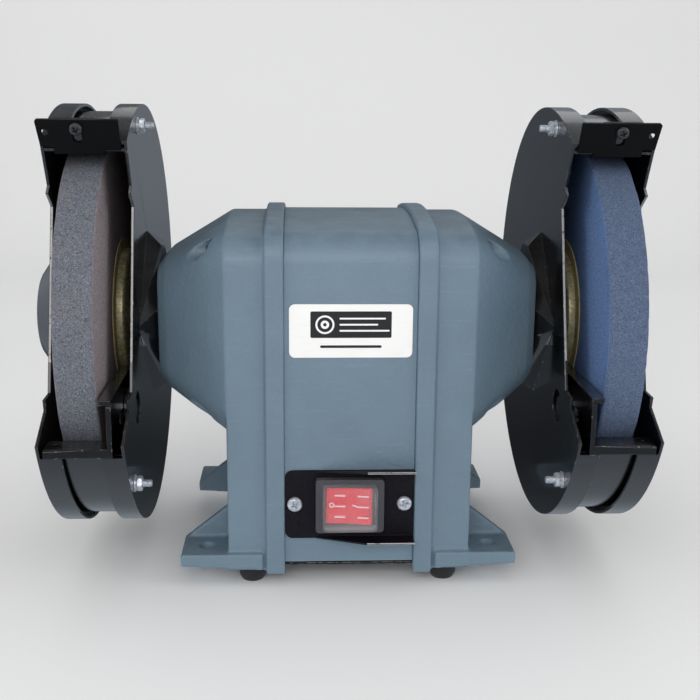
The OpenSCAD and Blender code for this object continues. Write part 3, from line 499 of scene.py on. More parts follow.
def finish_enamel(name):
    colour = finishes().enamel
    material, tree, shader = new_material(name, Specular_IOR_Level=0.42, Coat_Roughness=0.3)
    peel = place_group(tree, "Orange peel", Size=0.0026)
    # Mask of upward faces in clouds, used below as painted shade on the tops.
    dust_and_top_shade = place_group(tree, "Settled dust", Amount=0.4)
    wear = place_group(tree, "Edge wear", Amount=finishes().wear * 0.35, Patch=0.006)
    scuffs = place_group(tree, "Scratches", Amount=0.14, Per_metre=38.0)
    tone = mix_colour(
        tree, vary(tree, peel.outputs["Mottle"], 0.0, 1.0), rgba(colour, 0.87), rgba(colour, 1.1)
    )
    pits = band_mask(tree, peel.outputs["Height"], 0.86, 1.0)
    tone = mix_colour(tree, vary(tree, pits, 0.0, 0.16), tone, rgba(colour, 1.35))
    tone = mix_colour(tree, scuffs.outputs["Mask"], tone, rgba(colour, 1.5))
    # Darker enamel-hued patches on upward faces: painted shade on the tops.
    tone = mix_colour(tree, dust_and_top_shade.outputs["Mask"], tone, rgba(linear("#3f4a50")))
    # Pointiness darkens concave creases as painted shade and lightens convex ridges as painted highlight.
    corner = add_node(tree, "ShaderNodeNewGeometry").outputs["Pointiness"]
    crease_shade = vary(tree, band_mask(tree, corner, 0.485, 0.455), 0.0, 0.4)
    tone = mix_colour(tree, crease_shade, tone, rgba(linear("#39454e")))
    # Convex ridges lightened: painted highlight along the edges.
    ridge_highlight = vary(tree, band_mask(tree, corner, 0.53, 0.58), 0.0, 0.22)
    tone = mix_colour(tree, ridge_highlight, tone, rgba(colour, 1.5))
    tone = mix_colour(tree, vary(tree, wear.outputs["Mask"], 0.0, 0.55), tone, rgba(colour, 1.7))
    join(tree, tone, shader.inputs["Base Color"])
    join(tree, vary(tree, peel.outputs["Mottle"], 0.4, 0.56), shader.inputs["Roughness"])
    join(tree, vary(tree, peel.outputs["Mottle"], 0.22, 0.06), shader.inputs["Coat Weight"])
    bump(tree, shader, peel.outputs["Height"], 0.7, 0.0005)
    return material


def finish_black(name, colour, rough, coat, peel_size, peel_depth, wear_amount, dust_amount):
    """Black paint on steel, with peel, dust and edges rubbed to the metal."""
    material, tree, shader = new_material(name, Coat_Roughness=0.08, Specular_IOR_Level=0.5)
    peel = place_group(tree, "Orange peel", Size=peel_size)
    wear = place_group(tree, "Edge wear", Amount=wear_amount, Patch=0.003)
    dust_and_top_shade = place_group(tree, "Settled dust", Amount=dust_amount)
    scuffs = place_group(tree, "Scratches", Amount=0.07, Per_metre=45.0)
    tone = mix_colour(tree, peel.outputs["Mottle"], rgba(colour, 0.7), rgba(colour, 1.5))
    tone = mix_colour(tree, scuffs.outputs["Mask"], tone, rgba(linear("#4a4744")))
    tone = mix_colour(tree, dust_and_top_shade.outputs["Mask"], tone, rgba(linear("#7d7873")))
    tone = mix_colour(tree, wear.outputs["Mask"], tone, rgba(linear("#a39a90")))
    join(tree, tone, shader.inputs["Base Color"])
    join(tree, vary(tree, wear.outputs["Mask"], 0.0, 0.85), shader.inputs["Metallic"])
    dull = math_node(tree, "MAXIMUM", scuffs.outputs["Mask"], dust_and_top_shade.outputs["Mask"])
    join(tree, vary(tree, dull, rough, min(1.0, rough + 0.55)), shader.inputs["Roughness"])
    join(tree, vary(tree, wear.outputs["Mask"], coat, 0.0), shader.inputs["Coat Weight"])
    bump(tree, shader, peel.outputs["Height"], 0.35, peel_depth)
    return material


def finish_gloss_black(name):
    return finish_black(name, finishes().gloss_black, 0.2, 0.55, 0.004, 0.0002, finishes().wear * 0.7, 0.2)


def finish_satin_black(name):
    return finish_black(name, finishes().satin_black, 0.3, 0.3, 0.002, 0.0002, finishes().wear * 1.25, 0.22)


def finish_matt_black(name):
    return finish_moulded(name, "#050506", "#0c0c0e", 0.5, 0.0012, 0.0001, Specular_IOR_Level=0.12)


def finish_crinkle_black(name):
    """Crinkled paint on the switch plate, with painted highlights in white along its bent edges."""
    material, tree, shader = new_material(name, Specular_IOR_Level=0.25)
    where = own_coordinates(tree)
    cells = texture(tree, "ShaderNodeTexVoronoi", where, 900.0, feature="SMOOTH_F1")
    wear = place_group(tree, "Edge wear", Amount=0.85, Patch=0.0012)
    specks = grain(tree, where, 1400.0, 3.0, 0.7)
    crinkle = band_mask(tree, specks, 0.45, 0.75)
    tone = mix_colour(tree, crinkle, rgba(linear("#07050a")), rgba(linear("#221728")))
    # Near-white on the marked edges: painted highlight along the bends.
    tone = mix_colour(tree, wear.outputs["Mask"], tone, rgba(linear("#c9c3c4")))
    join(tree, tone, shader.inputs["Base Color"])
    join(tree, vary(tree, specks, 0.32, 0.6), shader.inputs["Roughness"])
    bump(tree, shader, cells.outputs["Distance"], 0.5, 0.0003)
    return material


def finish_cut_steel(name):
    """Raw sheared edge of painted sheet, with flecks of black left on it."""
    material, tree, shader = new_material(name, Specular_IOR_Level=0.5)
    where = own_coordinates(tree)
    streaks = grain(tree, own_coordinates(tree, (1.0, 6.0, 6.0)), 420.0, 4.0, 0.75)
    flecks = band_mask(tree, grain(tree, where, 330.0, 5.0, 0.75), 0.56, 0.66)
    metal = mix_colour(tree, streaks, rgba(linear("#5f5d5a")), rgba(linear("#dcdad6")))
    join(tree, mix_colour(tree, flecks, metal, rgba(linear("#141415"))), shader.inputs["Base Color"])
    join(tree, vary(tree, flecks, 0.9, 0.0), shader.inputs["Metallic"])
    join(tree, vary(tree, streaks, 0.3, 0.6), shader.inputs["Roughness"])
    bump(tree, shader, streaks, 0.5, 0.0003)
    return material


def finish_plated(name, low, high, rough, cloud_colour, cloud_share):
    """Zinc plate, bright or yellow, with a faint flake and clouding."""
    material, tree, shader = new_material(name, Metallic=0.55)
    flakes = place_group(tree, "Plated flakes")
    scuffs = place_group(tree, "Scratches", Amount=0.3, Per_metre=90.0)
    tone = mix_colour(tree, flakes.outputs["Tone"], rgba(linear(low)), rgba(linear(high)))
    cloud = band_mask(tree, flakes.outputs["Cloud"], 0.4, 0.75)
    tone = mix_colour(tree, vary(tree, cloud, 0.0, cloud_share), tone, rgba(linear(cloud_colour)))
    join(tree, tone, shader.inputs["Base Color"])
    dull = math_node(tree, "MAXIMUM", scuffs.outputs["Mask"], cloud)
    join(tree, vary(tree, dull, rough, rough + 0.2), shader.inputs["Roughness"])
    bump(tree, shader, flakes.outputs["Cloud"], 0.12, 0.0001)
    return material


def finish_zinc(name):
    return finish_plated(name, "#b4b9c2", "#e6e9ee", 0.3, "#8f949c", 0.4)


def finish_yellow_zinc(name):
    return finish_plated(name, "#a89e74", "#d6cda6", 0.32, "#8a7d68", 0.6)


def finish_brass(name):
    return finish_plated(name, "#b08c48", "#d9b86e", 0.22, "#7d6236", 0.4)


def finish_turned(name, low, high, rough, depth):
    """Machined steel with lathe rings round the spindle."""
    material, tree, shader = new_material(name, Metallic=0.8)
    rings = place_group(tree, "Turned rings")
    scuffs = place_group(tree, "Scratches", Amount=0.25, Per_metre=80.0)
    tone = mix_colour(tree, rings.outputs["Height"], rgba(linear(low)), rgba(linear(high)))
    join(tree, tone, shader.inputs["Base Color"])
    join(tree, vary(tree, scuffs.outputs["Mask"], rough, rough + 0.25), shader.inputs["Roughness"])
    bump(tree, shader, rings.outputs["Height"], 0.3, depth)
    return material


def finish_turned_steel(name):
    return finish_turned(name, "#8f9194", "#cfd1d3", 0.3, 0.00015)


def finish_bearing_steel(name):
    return finish_turned(name, "#b4b6b9", "#e6e7e8", 0.12, 0.00004)


def finish_cast_aluminium(name):
    material, tree, shader = new_material(name, Metallic=1.0)
    skin = place_group(tree, "Moulded grain", Size=0.0012)
    tone = mix_colour(tree, skin.outputs["Sheen"], rgba(linear("#8d9092")), rgba(linear("#c3c6c8")))
    join(tree, tone, shader.inputs["Base Color"])
    join(tree, vary(tree, skin.outputs["Sheen"], 0.42, 0.6), shader.inputs["Roughness"])
    bump(tree, shader, skin.outputs["Height"], 0.5, 0.0003)
    return material


def finish_lamination(name):
    """A stack of half-millimetre steel laminations, seen on edge."""
    material, tree, shader = new_material(name, Metallic=0.9)
    where = own_coordinates(tree)
    layers = texture(
        tree, "ShaderNodeTexWave", where, 320.0, {"Distortion": 0.4, "Detail": 2.0}, bands_direction="X"
    )
    rust = band_mask(tree, grain(tree, where, 70.0, 5.0, 0.7), 0.55, 0.8)
    tone = mix_colour(tree, layers.outputs["Fac"], rgba(linear("#3b3d40")), rgba(linear("#7b7e82")))
    tone = mix_colour(tree, vary(tree, rust, 0.0, 0.5), tone, rgba(linear("#5d4334")))
    join(tree, tone, shader.inputs["Base Color"])
    join(tree, vary(tree, rust, 0.38, 0.75), shader.inputs["Roughness"])
    bump(tree, shader, layers.outputs["Fac"], 0.6, 0.0002)
    return material


def finish_copper(name):
    """Varnished magnet wire, wound round the stator."""
    material, tree, shader = new_material(name, Metallic=0.75, Coat_Roughness=0.2)
    where = own_coordinates(tree)
    winding = {"Distortion": 3.0, "Detail": 3.0, "Detail Scale": 2.0}
    strands = texture(tree, "ShaderNodeTexWave", where, 260.0, winding, bands_direction="DIAGONAL")
    varnish = grain(tree, where, 60.0, 4.0, 0.6)
    tone = mix_colour(tree, strands.outputs["Fac"], rgba(linear("#5e2a12")), rgba(linear("#c4713a")))
    join(tree, tone, shader.inputs["Base Color"])
    join(tree, vary(tree, varnish, 0.25, 0.45), shader.inputs["Roughness"])
    join(tree, vary(tree, varnish, 0.2, 0.6), shader.inputs["Coat Weight"])
    bump(tree, shader, strands.outputs["Fac"], 0.8, 0.0004)
    return material


def finish_moulded(name, low, high, rough, size, depth, **constants):
    """Moulded plastic or rubber with a fine spark-eroded grain."""
    material, tree, shader = new_material(name, **constants)
    skin = place_group(tree, "Moulded grain", Size=size)
    dust_and_top_shade = place_group(tree, "Settled dust", Amount=0.18)
    tone = mix_colour(tree, skin.outputs["Sheen"], rgba(linear(low)), rgba(linear(high)))
    tone = mix_colour(tree, dust_and_top_shade.outputs["Mask"], tone, rgba(linear("#8e8a86")))
    join(tree, tone, shader.inputs["Base Color"])
    join(tree, vary(tree, skin.outputs["Sheen"], rough, rough + 0.15), shader.inputs["Roughness"])
    bump(tree, shader, skin.outputs["Height"], 0.4, depth)
    return material


def finish_black_plastic(name):
    return finish_moulded(name, "#3a3a3f", "#4a4a50", 0.38, 0.0005, 0.0001)


def finish_capacitor_can(name):
    return finish_moulded(name, "#c9c8c0", "#dddcd4", 0.35, 0.0008, 0.0001)


def finish_foot_rubber(name):
    return finish_moulded(name, "#141414", "#232323", 0.6, 0.0007, 0.0002)


def finish_red_plastic(name):
    """Red rocker, dyed and a little clear, with a faint emission in its own colour as a painted glow."""
    colour = finishes().rocker_red
    material, tree, shader = new_material(
        name, IOR=1.49, Subsurface_Weight=0.15, Subsurface_Scale=0.002, Emission_Strength=0.22
    )
    skin = place_group(tree, "Moulded grain", Size=0.004)
    where = own_coordinates(tree)
    ribs = texture(tree, "ShaderNodeTexWave", where, 140.0, {"Distortion": 0.6}, bands_direction="X")
    tone = mix_colour(tree, skin.outputs["Sheen"], rgba(colour, 0.8), rgba(colour, 1.1))
    tone = mix_colour(tree, vary(tree, ribs.outputs["Fac"], 0.0, 0.18), tone, rgba(linear("#f0554a")))
    join(tree, tone, shader.inputs["Base Color"])
    # Emission in the rocker's colour: painted glow that brightens the red.
    join(tree, tone, shader.inputs["Emission Color"])
    join(tree, vary(tree, skin.outputs["Sheen"], 0.16, 0.28), shader.inputs["Roughness"])
    bump(tree, shader, skin.outputs["Height"], 0.12, 0.0002)
    return material


def finish_print(name, low, high):
    """Pad-printed ink or a painted mark."""
    material, tree, shader = new_material(name)
    where = own_coordinates(tree)
    ink = grain(tree, where, 900.0, 4.0, 0.7)
    join(tree, mix_colour(tree, ink, rgba(linear(low)), rgba(linear(high))), shader.inputs["Base Color"])
    join(tree, vary(tree, ink, 0.35, 0.6), shader.inputs["Roughness"])
    bump(tree, shader, ink, 0.15, 0.00005)
    return material


def finish_rocker_mark(name):
    return finish_print(name, "#e7b9c0", "#f6dcdf")


def finish_label_ink(name):
    return finish_print(name, "#131315", "#26262a")


def finish_clear_cover(name):
    """Thin clear vinyl, a little hazed."""
    material, tree, shader = new_material(name, Base_Color=(0.9, 0.88, 0.9, 1), IOR=1.5)
    skin = place_group(tree, "Moulded grain", Size=0.003)
    haze = place_group(tree, "Settled dust", Amount=0.5)
    fog = math_node(tree, "MAXIMUM", haze.outputs["Mask"], skin.outputs["Sheen"])
    join(tree, vary(tree, fog, 0.02, 0.14), shader.inputs["Alpha"])
    join(tree, vary(tree, fog, 0.06, 0.3), shader.inputs["Roughness"])
    bump(tree, shader, skin.outputs["Height"], 0.3, 0.0004)
    return material


def finish_label_white(name):
    colour = finishes().label
    material, tree, shader = new_material(name, Coat_Roughness=0.1)
    paper = place_group(tree, "Moulded grain", Size=0.0009)
    scuffs = place_group(tree, "Scratches", Amount=0.12, Per_metre=70.0)
    tone = mix_colour(tree, paper.outputs["Sheen"], rgba(colour, 0.93), rgba(colour, 1.0))
    tone = mix_colour(tree, scuffs.outputs["Mask"], tone, rgba(linear("#b5b4ae")))
    join(tree, tone, shader.inputs["Base Color"])
    join(tree, vary(tree, paper.outputs["Sheen"], 0.3, 0.45), shader.inputs["Roughness"])
    bump(tree, shader, paper.outputs["Height"], 0.08, 0.0001)
    return material


def finish_black_screw(name):
    return finish_moulded(name, "#101012", "#232327", 0.3, 0.0009, 0.0001, Specular_IOR_Level=0.8)


def finish_pocket_shade_bolt(name):
    """Head at the bottom of a painted pocket, painted a dark enamel blue-grey as the pocket's shade; matt.
    """
    return finish_moulded(name, "#2c343a", "#3d4850", 0.7, 0.0012, 0.0002, Specular_IOR_Level=0.15)


def finish_abrasive(name, colour, grain_size, warm, warm_share, side):
    """Vitrified wheel: packed grains, dark pores, a few bright facets, and sides in a lighter colour of
    their own that paints light into their shade.
    """
    material, tree, shader = new_material(name, Specular_IOR_Level=0.35)
    grit = place_group(tree, "Abrasive grit", Grain=grain_size)
    where = own_coordinates(tree)
    blotch = grain(tree, where, 40.0, 5.0, 0.65)
    tone = mix_colour(tree, grit.outputs["Tone"], rgba(colour, 0.72), rgba(colour, 1.35))
    tone = mix_colour(
        tree, vary(tree, band_mask(tree, blotch, 0.4, 0.8), 0.0, warm_share), tone, rgba(linear(warm))
    )
    # Flat sides take the lighter side colour: partly their own tint, partly painted light against the shade
    # inside the guard.
    split = separate_axes(tree, add_node(tree, "ShaderNodeNewGeometry").outputs["Normal"])
    flat = band_mask(tree, math_node(tree, "ABSOLUTE", split.outputs["X"]), 0.6, 0.9)
    side_with_painted_light = mix_colour(tree, grit.outputs["Tone"], rgba(linear(side), 0.75), rgba(linear(side), 1.25))
    tone = mix_colour(tree, flat, tone, side_with_painted_light)
    tone = mix_colour(tree, vary(tree, grit.outputs["Pore"], 0.0, 0.72), tone, rgba(colour, 0.18))
    tone = mix_colour(tree, vary(tree, grit.outputs["Sparkle"], 0.0, 0.45), tone, rgba(colour, 2.4))
    join(tree, tone, shader.inputs["Base Color"])
    join(tree, vary(tree, grit.outputs["Sparkle"], 0.92, 0.5), shader.inputs["Roughness"])
    bump(tree, shader, grit.outputs["Height"], 0.6, grain_size * 0.4)
    return material


def finish_wheel_coarse(name):
    return finish_abrasive(name, finishes().coarse_wheel, 0.0005, "#8d7b78", 0.25, "#8f8386")


def finish_wheel_fine(name):
    return finish_abrasive(name, finishes().fine_wheel, 0.00036, "#5a587c", 0.3, "#5c78a6")


def finish_blotter(name):
    """Compressed paper washer."""
    material, tree, shader = new_material(name)
    where = own_coordinates(tree)
    fibre = grain(tree, own_coordinates(tree, (1.0, 1.0, 5.0)), 500.0, 5.0, 0.75, 1.5)
    stain = band_mask(tree, grain(tree, where, 50.0, 4.0, 0.6), 0.4, 0.75)
    tone = mix_colour(tree, fibre, rgba(linear("#8d7d52")), rgba(linear("#c2b487")))
    tone = mix_colour(tree, vary(tree, stain, 0.0, 0.6), tone, rgba(linear("#57503a")))
    join(tree, tone, shader.inputs["Base Color"])
    join(tree, vary(tree, fibre, 0.7, 0.95), shader.inputs["Roughness"])
    bump(tree, shader, fibre, 0.4, 0.0002)
    return material


def finish_studio_floor(name):
    material, tree, shader = new_material(name, Specular_IOR_Level=0.2)
    where = own_coordinates(tree)
    sweep = grain(tree, where, 3.0, 3.0, 0.5)
    colour = studio().floor
    join(tree, mix_colour(tree, sweep, rgba(colour, 0.98), rgba(colour, 1.0)), shader.inputs["Base Color"])
    join(tree, vary(tree, sweep, 0.6, 0.7), shader.inputs["Roughness"])
    return material


SLOT_FINISH = {
    "body_paint": finish_enamel,
    "gloss_black": finish_gloss_black,
    "black_paint": finish_satin_black,
    "zinc": finish_zinc,
    "yellow_zinc": finish_yellow_zinc,
    "turned_steel": finish_turned_steel,
    "bearing_steel": finish_bearing_steel,
    "lamination": finish_lamination,
    "cast_aluminium": finish_cast_aluminium,
    "copper": finish_copper,
    "capacitor_can": finish_capacitor_can,
    "brass": finish_brass,
    "black_plastic": finish_black_plastic,
    "red_plastic": finish_red_plastic,
    "clear_cover": finish_clear_cover,
    "label_white": finish_label_white,
    "foot_rubber": finish_foot_rubber,
    "black_screw": finish_black_screw,
    "wheel_coarse": finish_wheel_coarse,
    "wheel_fine": finish_wheel_fine,
    "blotter": finish_blotter,
}
EXTRA_FINISH = {
    "matt_black": finish_matt_black,
    "bolt_in_pocket": finish_pocket_shade_bolt,
    "cut_steel": finish_cut_steel,
    "crinkle_black": finish_crinkle_black,
    "rocker_mark": finish_rocker_mark,
    "label_ink": finish_label_ink,
    "studio_floor": finish_studio_floor,
}


def finish(key):
    """The material of a finish, made the first time that it is asked for."""
    name = key.replace("_", " ").capitalize()
    builder = SLOT_FINISH.get(key) or EXTRA_FINISH[key]
    return bpy.data.materials.get(name) or builder(name)


# ---------------------------------------------------------------- mesh helpers


def facing(origin, direction):
    """A matrix whose local Z runs along direction from origin."""
    turn = Vector(direction).normalized().to_track_quat("Z", "Y").to_matrix().to_4x4()
    return Matrix.Translation(origin) @ turn


def cad_copy(node):
    """The CAD node's own shape as a new bmesh, its split vertices joined."""
    shape = bmesh.new()
    shape.from_mesh(NODES[node].data)
    bmesh.ops.remove_doubles(shape, verts=shape.verts, dist=1e-6)
    bmesh.ops.dissolve_degenerate(shape, edges=shape.edges, dist=1e-6)
    return shape


def put(name, shape, nodes, extra_finishes=(), smooth_angle=32, weighted=True, slot=None, look=None):
    """Makes a piece from a bmesh, rides it on the body of the nodes it stands for, and hides them.

    look is a finish other than the slot's own.
    """
    mesh = bpy.data.meshes.new(name)
    shape.normal_update()
    shape.to_mesh(mesh)
    shape.free()
    slot = slot or SLOT_OF[nodes[0]]
    for key in (look or slot, *extra_finishes):
        mesh.materials.append(finish(key))
    mesh.polygons.foreach_set("use_smooth", [True] * len(mesh.polygons))
    mesh.set_sharp_from_angle(angle=math.radians(smooth_angle))
    piece = bpy.data.objects.new(name, mesh)
    bpy.context.scene.collection.objects.link(piece)
    if weighted:
        evened = piece.modifiers.new("Even shading", "WEIGHTED_NORMAL")
        evened.keep_sharp = True
    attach(piece, NODES[nodes[0]]["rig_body"])
    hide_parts(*nodes)
    return piece


def soften(shape, passes, sharp=30, flat=0.8):
    """Rounds the sharp edges of a bmesh: each pass is (radius, segments, which edges)."""
    bmesh.ops.dissolve_limit(
        shape, angle_limit=math.radians(flat), verts=shape.verts, edges=shape.edges, delimit={"MATERIAL"}
    )
    wear_and_highlight_layer = shape.faces.layers.float.get("edge_wear") or shape.faces.layers.float.new("edge_wear")
    for radius, segments, chosen in passes:
        edges = [
            e
            for e in shape.edges
            if len(e.link_faces) == 2
            and e.calc_face_angle(0) > math.radians(sharp)
            and all(f[wear_and_highlight_layer] == 0 for f in e.link_faces)
            and (chosen is None or chosen(e))
        ]
        if not edges:
            continue
        made = bmesh.ops.bevel(
            shape,
            geom=edges,
            offset=radius,
            offset_type="OFFSET",
            segments=segments,
            profile=0.5,
            affect="EDGES",
            clamp_overlap=False,
            loop_slide=True,
            miter_outer="ARC",
        )
        for face in made["faces"]:
            face[wear_and_highlight_layer] = 1.0
    return shape


def polar_vert(shape, matrix, radius, angle, height):
    """A new vertex at an angle round the matrix's local Z."""
    return shape.verts.new(matrix @ Vector((radius * math.cos(angle), radius * math.sin(angle), height)))


def revolve(shape, profile, matrix, steps=72, finish_index=0, closed=True):
    """Turns (radius, height) points about the matrix's local Z. Points at radius 0 are poles."""
    rings = []
    for radius, height in profile:
        if radius < 1e-9:
            pole = shape.verts.new(matrix @ Vector((0, 0, height)))
            rings.append([pole] * steps)
            continue
        rings.append(
            [polar_vert(shape, matrix, radius, FULL_TURN * k / steps, height) for k in range(steps)]
        )
    pairs = list(zip(rings, rings[1:]))
    if closed and profile[0][0] > 1e-9:
        pairs.append((rings[-1], rings[0]))
    for low, high in pairs:
        for k in range(steps):
            n = (k + 1) % steps
            corners = []
            for vert in (low[k], low[n], high[n], high[k]):
                if vert not in corners:
                    corners.append(vert)
            if len(corners) > 2:
                shape.faces.new(corners).material_index = finish_index
    return shape


def rounded_profile(points, radius, steps=3):
    """A closed profile with each corner cut back by radius and rounded."""
    rounded = []
    count = len(points)
    for i, point in enumerate(points):
        here = Vector(point)
        before = Vector(points[i - 1]) - here
        after = Vector(points[(i + 1) % count]) - here
        cut = min(radius, before.length * 0.45, after.length * 0.45)
        start, end = here + before.normalized() * cut, here + after.normalized() * cut
        for k in range(steps + 1):
            t = k / steps
            rounded.append(tuple(start * (1 - t) ** 2 + here * 2 * t * (1 - t) + end * t**2))
    return rounded


def washer(shape, matrix, bore, outer, low, high, edge=0.15 * MM, steps=48):
    ring = rounded_profile([(bore, low), (outer, low), (outer, high), (bore, high)], edge, 2)
    return revolve(shape, ring, matrix, steps)


def spring_washer(shape, matrix, bore, outer, low, thick, steps=44):
    """A split ring whose ends stand a little apart."""
    gap, lift = 0.12, thick * 0.35
    rings = []
    for k in range(steps + 1):
        angle = gap + (FULL_TURN - 2 * gap) * k / steps
        rise = low + lift * k / steps
        corners = ((bore, rise), (outer, rise), (outer, rise + thick), (bore, rise + thick))
        rings.append([polar_vert(shape, matrix, r, angle, z) for r, z in corners])
    for a, b in zip(rings, rings[1:]):
        for i in range(4):
            shape.faces.new((a[i], b[i], b[(i + 1) % 4], a[(i + 1) % 4]))
    shape.faces.new(rings[0])
    shape.faces.new(rings[-1][::-1])
    return shape


def hexagon_at(flats, angle):
    """Distance from the middle of a hexagon to its outline."""
    sixth = math.pi / 3
    return flats / 2 / math.cos((angle % sixth) - sixth / 2)


def hex_nut(shape, matrix, flats, bore, low, high, chamfers=(True, True), domed=0.0):
    """A nut or bolt head with 30 degree chamfers. A bore of 0 makes a solid head."""
    steps, inscribed = 72, flats * 0.48
    slope = math.tan(math.radians(30))
    lip = 0.06 * flats if bore else 0
    crown = inscribed * 0.6
    rings = []
    for k in range(steps):
        angle = FULL_TURN * k / steps
        reach = hexagon_at(flats, angle)
        drop = max(0.0, (reach - inscribed) * slope)
        low_drop, high_drop = (drop if cut else 0 for cut in chamfers)
        profile = []
        if bore:
            profile += [(bore, low + lip), (bore + lip, low)]
        profile += [(inscribed, low), (reach, low + low_drop), (reach, high - high_drop), (inscribed, high)]
        profile += [(bore + lip, high), (bore, high - lip)] if bore else [(crown, high + domed)]
        rings.append([polar_vert(shape, matrix, r, angle, z) for r, z in profile])
    count = len(rings[0])
    for k in range(steps):
        a, b = rings[k], rings[(k + 1) % steps]
        for i in range(count if bore else count - 1):
            j = (i + 1) % count
            if (a[i].co - a[j].co).length > 1e-7 or (b[i].co - b[j].co).length > 1e-7:
                shape.faces.new((a[i], b[i], b[j], a[j]))
    if not bore:
        shape.faces.new([ring[0] for ring in rings][::-1])
        shape.faces.new([ring[-1] for ring in rings])
    return shape


def rod(shape, matrix, radius, low, high, thread, pitch=M4_PITCH, hand=1, steps=28):
    """A round bar closed at both ends; thread is the (from, to) stretch that carries a screw thread."""
    depth, chamfer = pitch * 0.55, min(pitch, radius * 0.4)
    start, end = thread
    rows = int((end - start) / pitch * 6)
    heights = {low, low + chamfer, high - chamfer, high}
    heights |= {start + (end - start) * i / rows for i in range(rows + 1)}
    rings = []
    for z in sorted(heights):
        ring = []
        inward = min(1.0, (z - low) / chamfer, (high - z) / chamfer)
        for k in range(steps):
            angle = FULL_TURN * k / steps
            reach = radius - chamfer * 0.5 * (1 - max(0.0, inward))
            if start <= z <= end:
                phase = FULL_TURN * z / pitch - hand * angle
                reach -= depth * (0.5 - 0.5 * math.cos(phase))
            ring.append(polar_vert(shape, matrix, reach, angle, z))
        rings.append(ring)
    for a, b in zip(rings, rings[1:]):
        for k in range(steps):
            n = (k + 1) % steps
            shape.faces.new((a[k], a[n], b[n], b[k]))
    shape.faces.new(rings[0][::-1])
    shape.faces.new(rings[-1])
    return shape


def pan_head(shape, matrix, radius, height, grid=34):
    """A pan head with a pressed cross recess; its underside is at local zero."""
    arm, reach, sunk = 0.12, 0.58, 0.62
    bank, end_slope = 0.06, 0.22
    rows = []
    for i in range(grid + 1):
        row = []
        for j in range(grid + 1):
            u, v = 2 * i / grid - 1, 2 * j / grid - 1
            x = u * math.sqrt(1 - v * v / 2)
            y = v * math.sqrt(1 - u * u / 2)
            rho = min(1.0, math.hypot(x, y))
            z = height * (1 - 0.14 * rho**2 - 0.42 * rho**9)
            narrow, wide = min(abs(x), abs(y)), max(abs(x), abs(y))
            inside = min(1.0, max(0.0, (arm + bank / 2 - narrow) / bank))
            along = min(1.0, max(0.0, (reach - wide) / end_slope))
            z -= height * sunk * inside * along
            row.append(shape.verts.new(matrix @ Vector((x * radius, y * radius, z))))
        rows.append(row)
    for i in range(grid):
        for j in range(grid):
            shape.faces.new((rows[i][j], rows[i + 1][j], rows[i + 1][j + 1], rows[i][j + 1]))
    border = [rows[i][0] for i in range(grid)] + [rows[grid][j] for j in range(grid)]
    border += [rows[grid - i][grid] for i in range(grid)] + [rows[0][grid - j] for j in range(grid)]
    back = matrix.inverted()
    previous = border
    for scale, z in ((1.0, height * 0.2), (0.975, 0.0)):
        ring = []
        for vert in border:
            local = back @ vert.co
            ring.append(shape.verts.new(matrix @ Vector((local.x * scale, local.y * scale, z))))
        for k in range(len(ring)):
            n = (k + 1) % len(ring)
            shape.faces.new((previous[k], ring[k], ring[n], previous[n]))
        previous = ring
    shape.faces.new(previous)
    return shape


def solids(node):
    """The separate solids of a CAD node, each as a list of its points."""
    shape = cad_copy(node)
    left, found = set(shape.verts), []
    while left:
        group, waiting = [], [left.pop()]
        while waiting:
            vert = waiting.pop()
            group.append(vert.co.copy())
            for link in vert.link_edges:
                other = link.other_vert(vert)
                if other in left:
                    left.remove(other)
                    waiting.append(other)
        found.append(group)
    shape.free()
    return found


def measure(points, direction):
    """Where a round solid stands along direction: its matrix, ends, head and shank."""
    matrix = facing((0, 0, 0), direction)
    local = [matrix.inverted() @ p for p in points]
    middle = [(min(p[i] for p in local) + max(p[i] for p in local)) / 2 for i in (0, 1)]
    reaches = [math.hypot(p.x - middle[0], p.y - middle[1]) for p in local]
    low, high = min(p.z for p in local), max(p.z for p in local)
    widest = max(reaches)
    corner = local[reaches.index(widest)]
    return {
        "matrix": matrix @ Matrix.Translation((middle[0], middle[1], 0)),
        "low": low,
        "high": high,
        "radius": widest,
        "bore": min(reaches),
        "head": min(p.z for p, r in zip(local, reaches) if r > 0.95 * widest),
        "shank": max(r for p, r in zip(local, reaches) if p.z < low + 1e-5),
        "corner": math.atan2(corner.y - middle[1], corner.x - middle[0]),
    }


def corner_first(at):
    """The matrix of a measured nut or head, turned to one of its corners."""
    return at["matrix"] @ Matrix.Rotation(at["corner"], 4, "Z")


def flats_of(at):
    """Width across the flats of a measured nut or head."""
    return at["radius"] * math.sqrt(3)


def outward(points):
    """+X or -X, whichever end of the machine the points are at."""
    return ALONG_X if sum(p.x for p in points) > 0 else -ALONG_X


def screws(shape, node, direction_of, threaded=None, pitch=M4_PITCH):
    """Cross-recessed pan-head screws where the CAD node has its screws."""
    for index, points in enumerate(solids(node)):
        at = measure(points, direction_of(points))
        turned = at["matrix"] @ Matrix.Rotation(0.4 + 1.7 * index, 4, "Z")
        pan_head(
            shape, turned @ Matrix.Translation((0, 0, at["head"])), at["radius"], at["high"] - at["head"]
        )
        length = at["head"] - at["low"]
        stretch = (at["low"] + 0.1 * MM, at["low"] + min(length * 0.98, threaded or length))
        rod(shape, turned, at["shank"], at["low"], at["head"] + INTO_HEAD, stretch, pitch)
    return shape


# ---------------------------------------------------------------- camera and stage


def sight_matrix(settings):
    """The camera's rotation from its yaw, pitch and roll."""
    yaw, pitch, roll = settings.camera_yaw, settings.camera_pitch, settings.camera_roll
    ahead = Vector(
        (math.sin(yaw) * math.cos(pitch), math.cos(yaw) * math.cos(pitch), -math.sin(pitch))
    )
    right = Vector((math.cos(yaw), -math.sin(yaw), 0))
    above = right.cross(ahead)
    leaned = right * math.cos(roll) + above * math.sin(roll)
    return Matrix((leaned, leaned.cross(ahead), -ahead)).transposed()


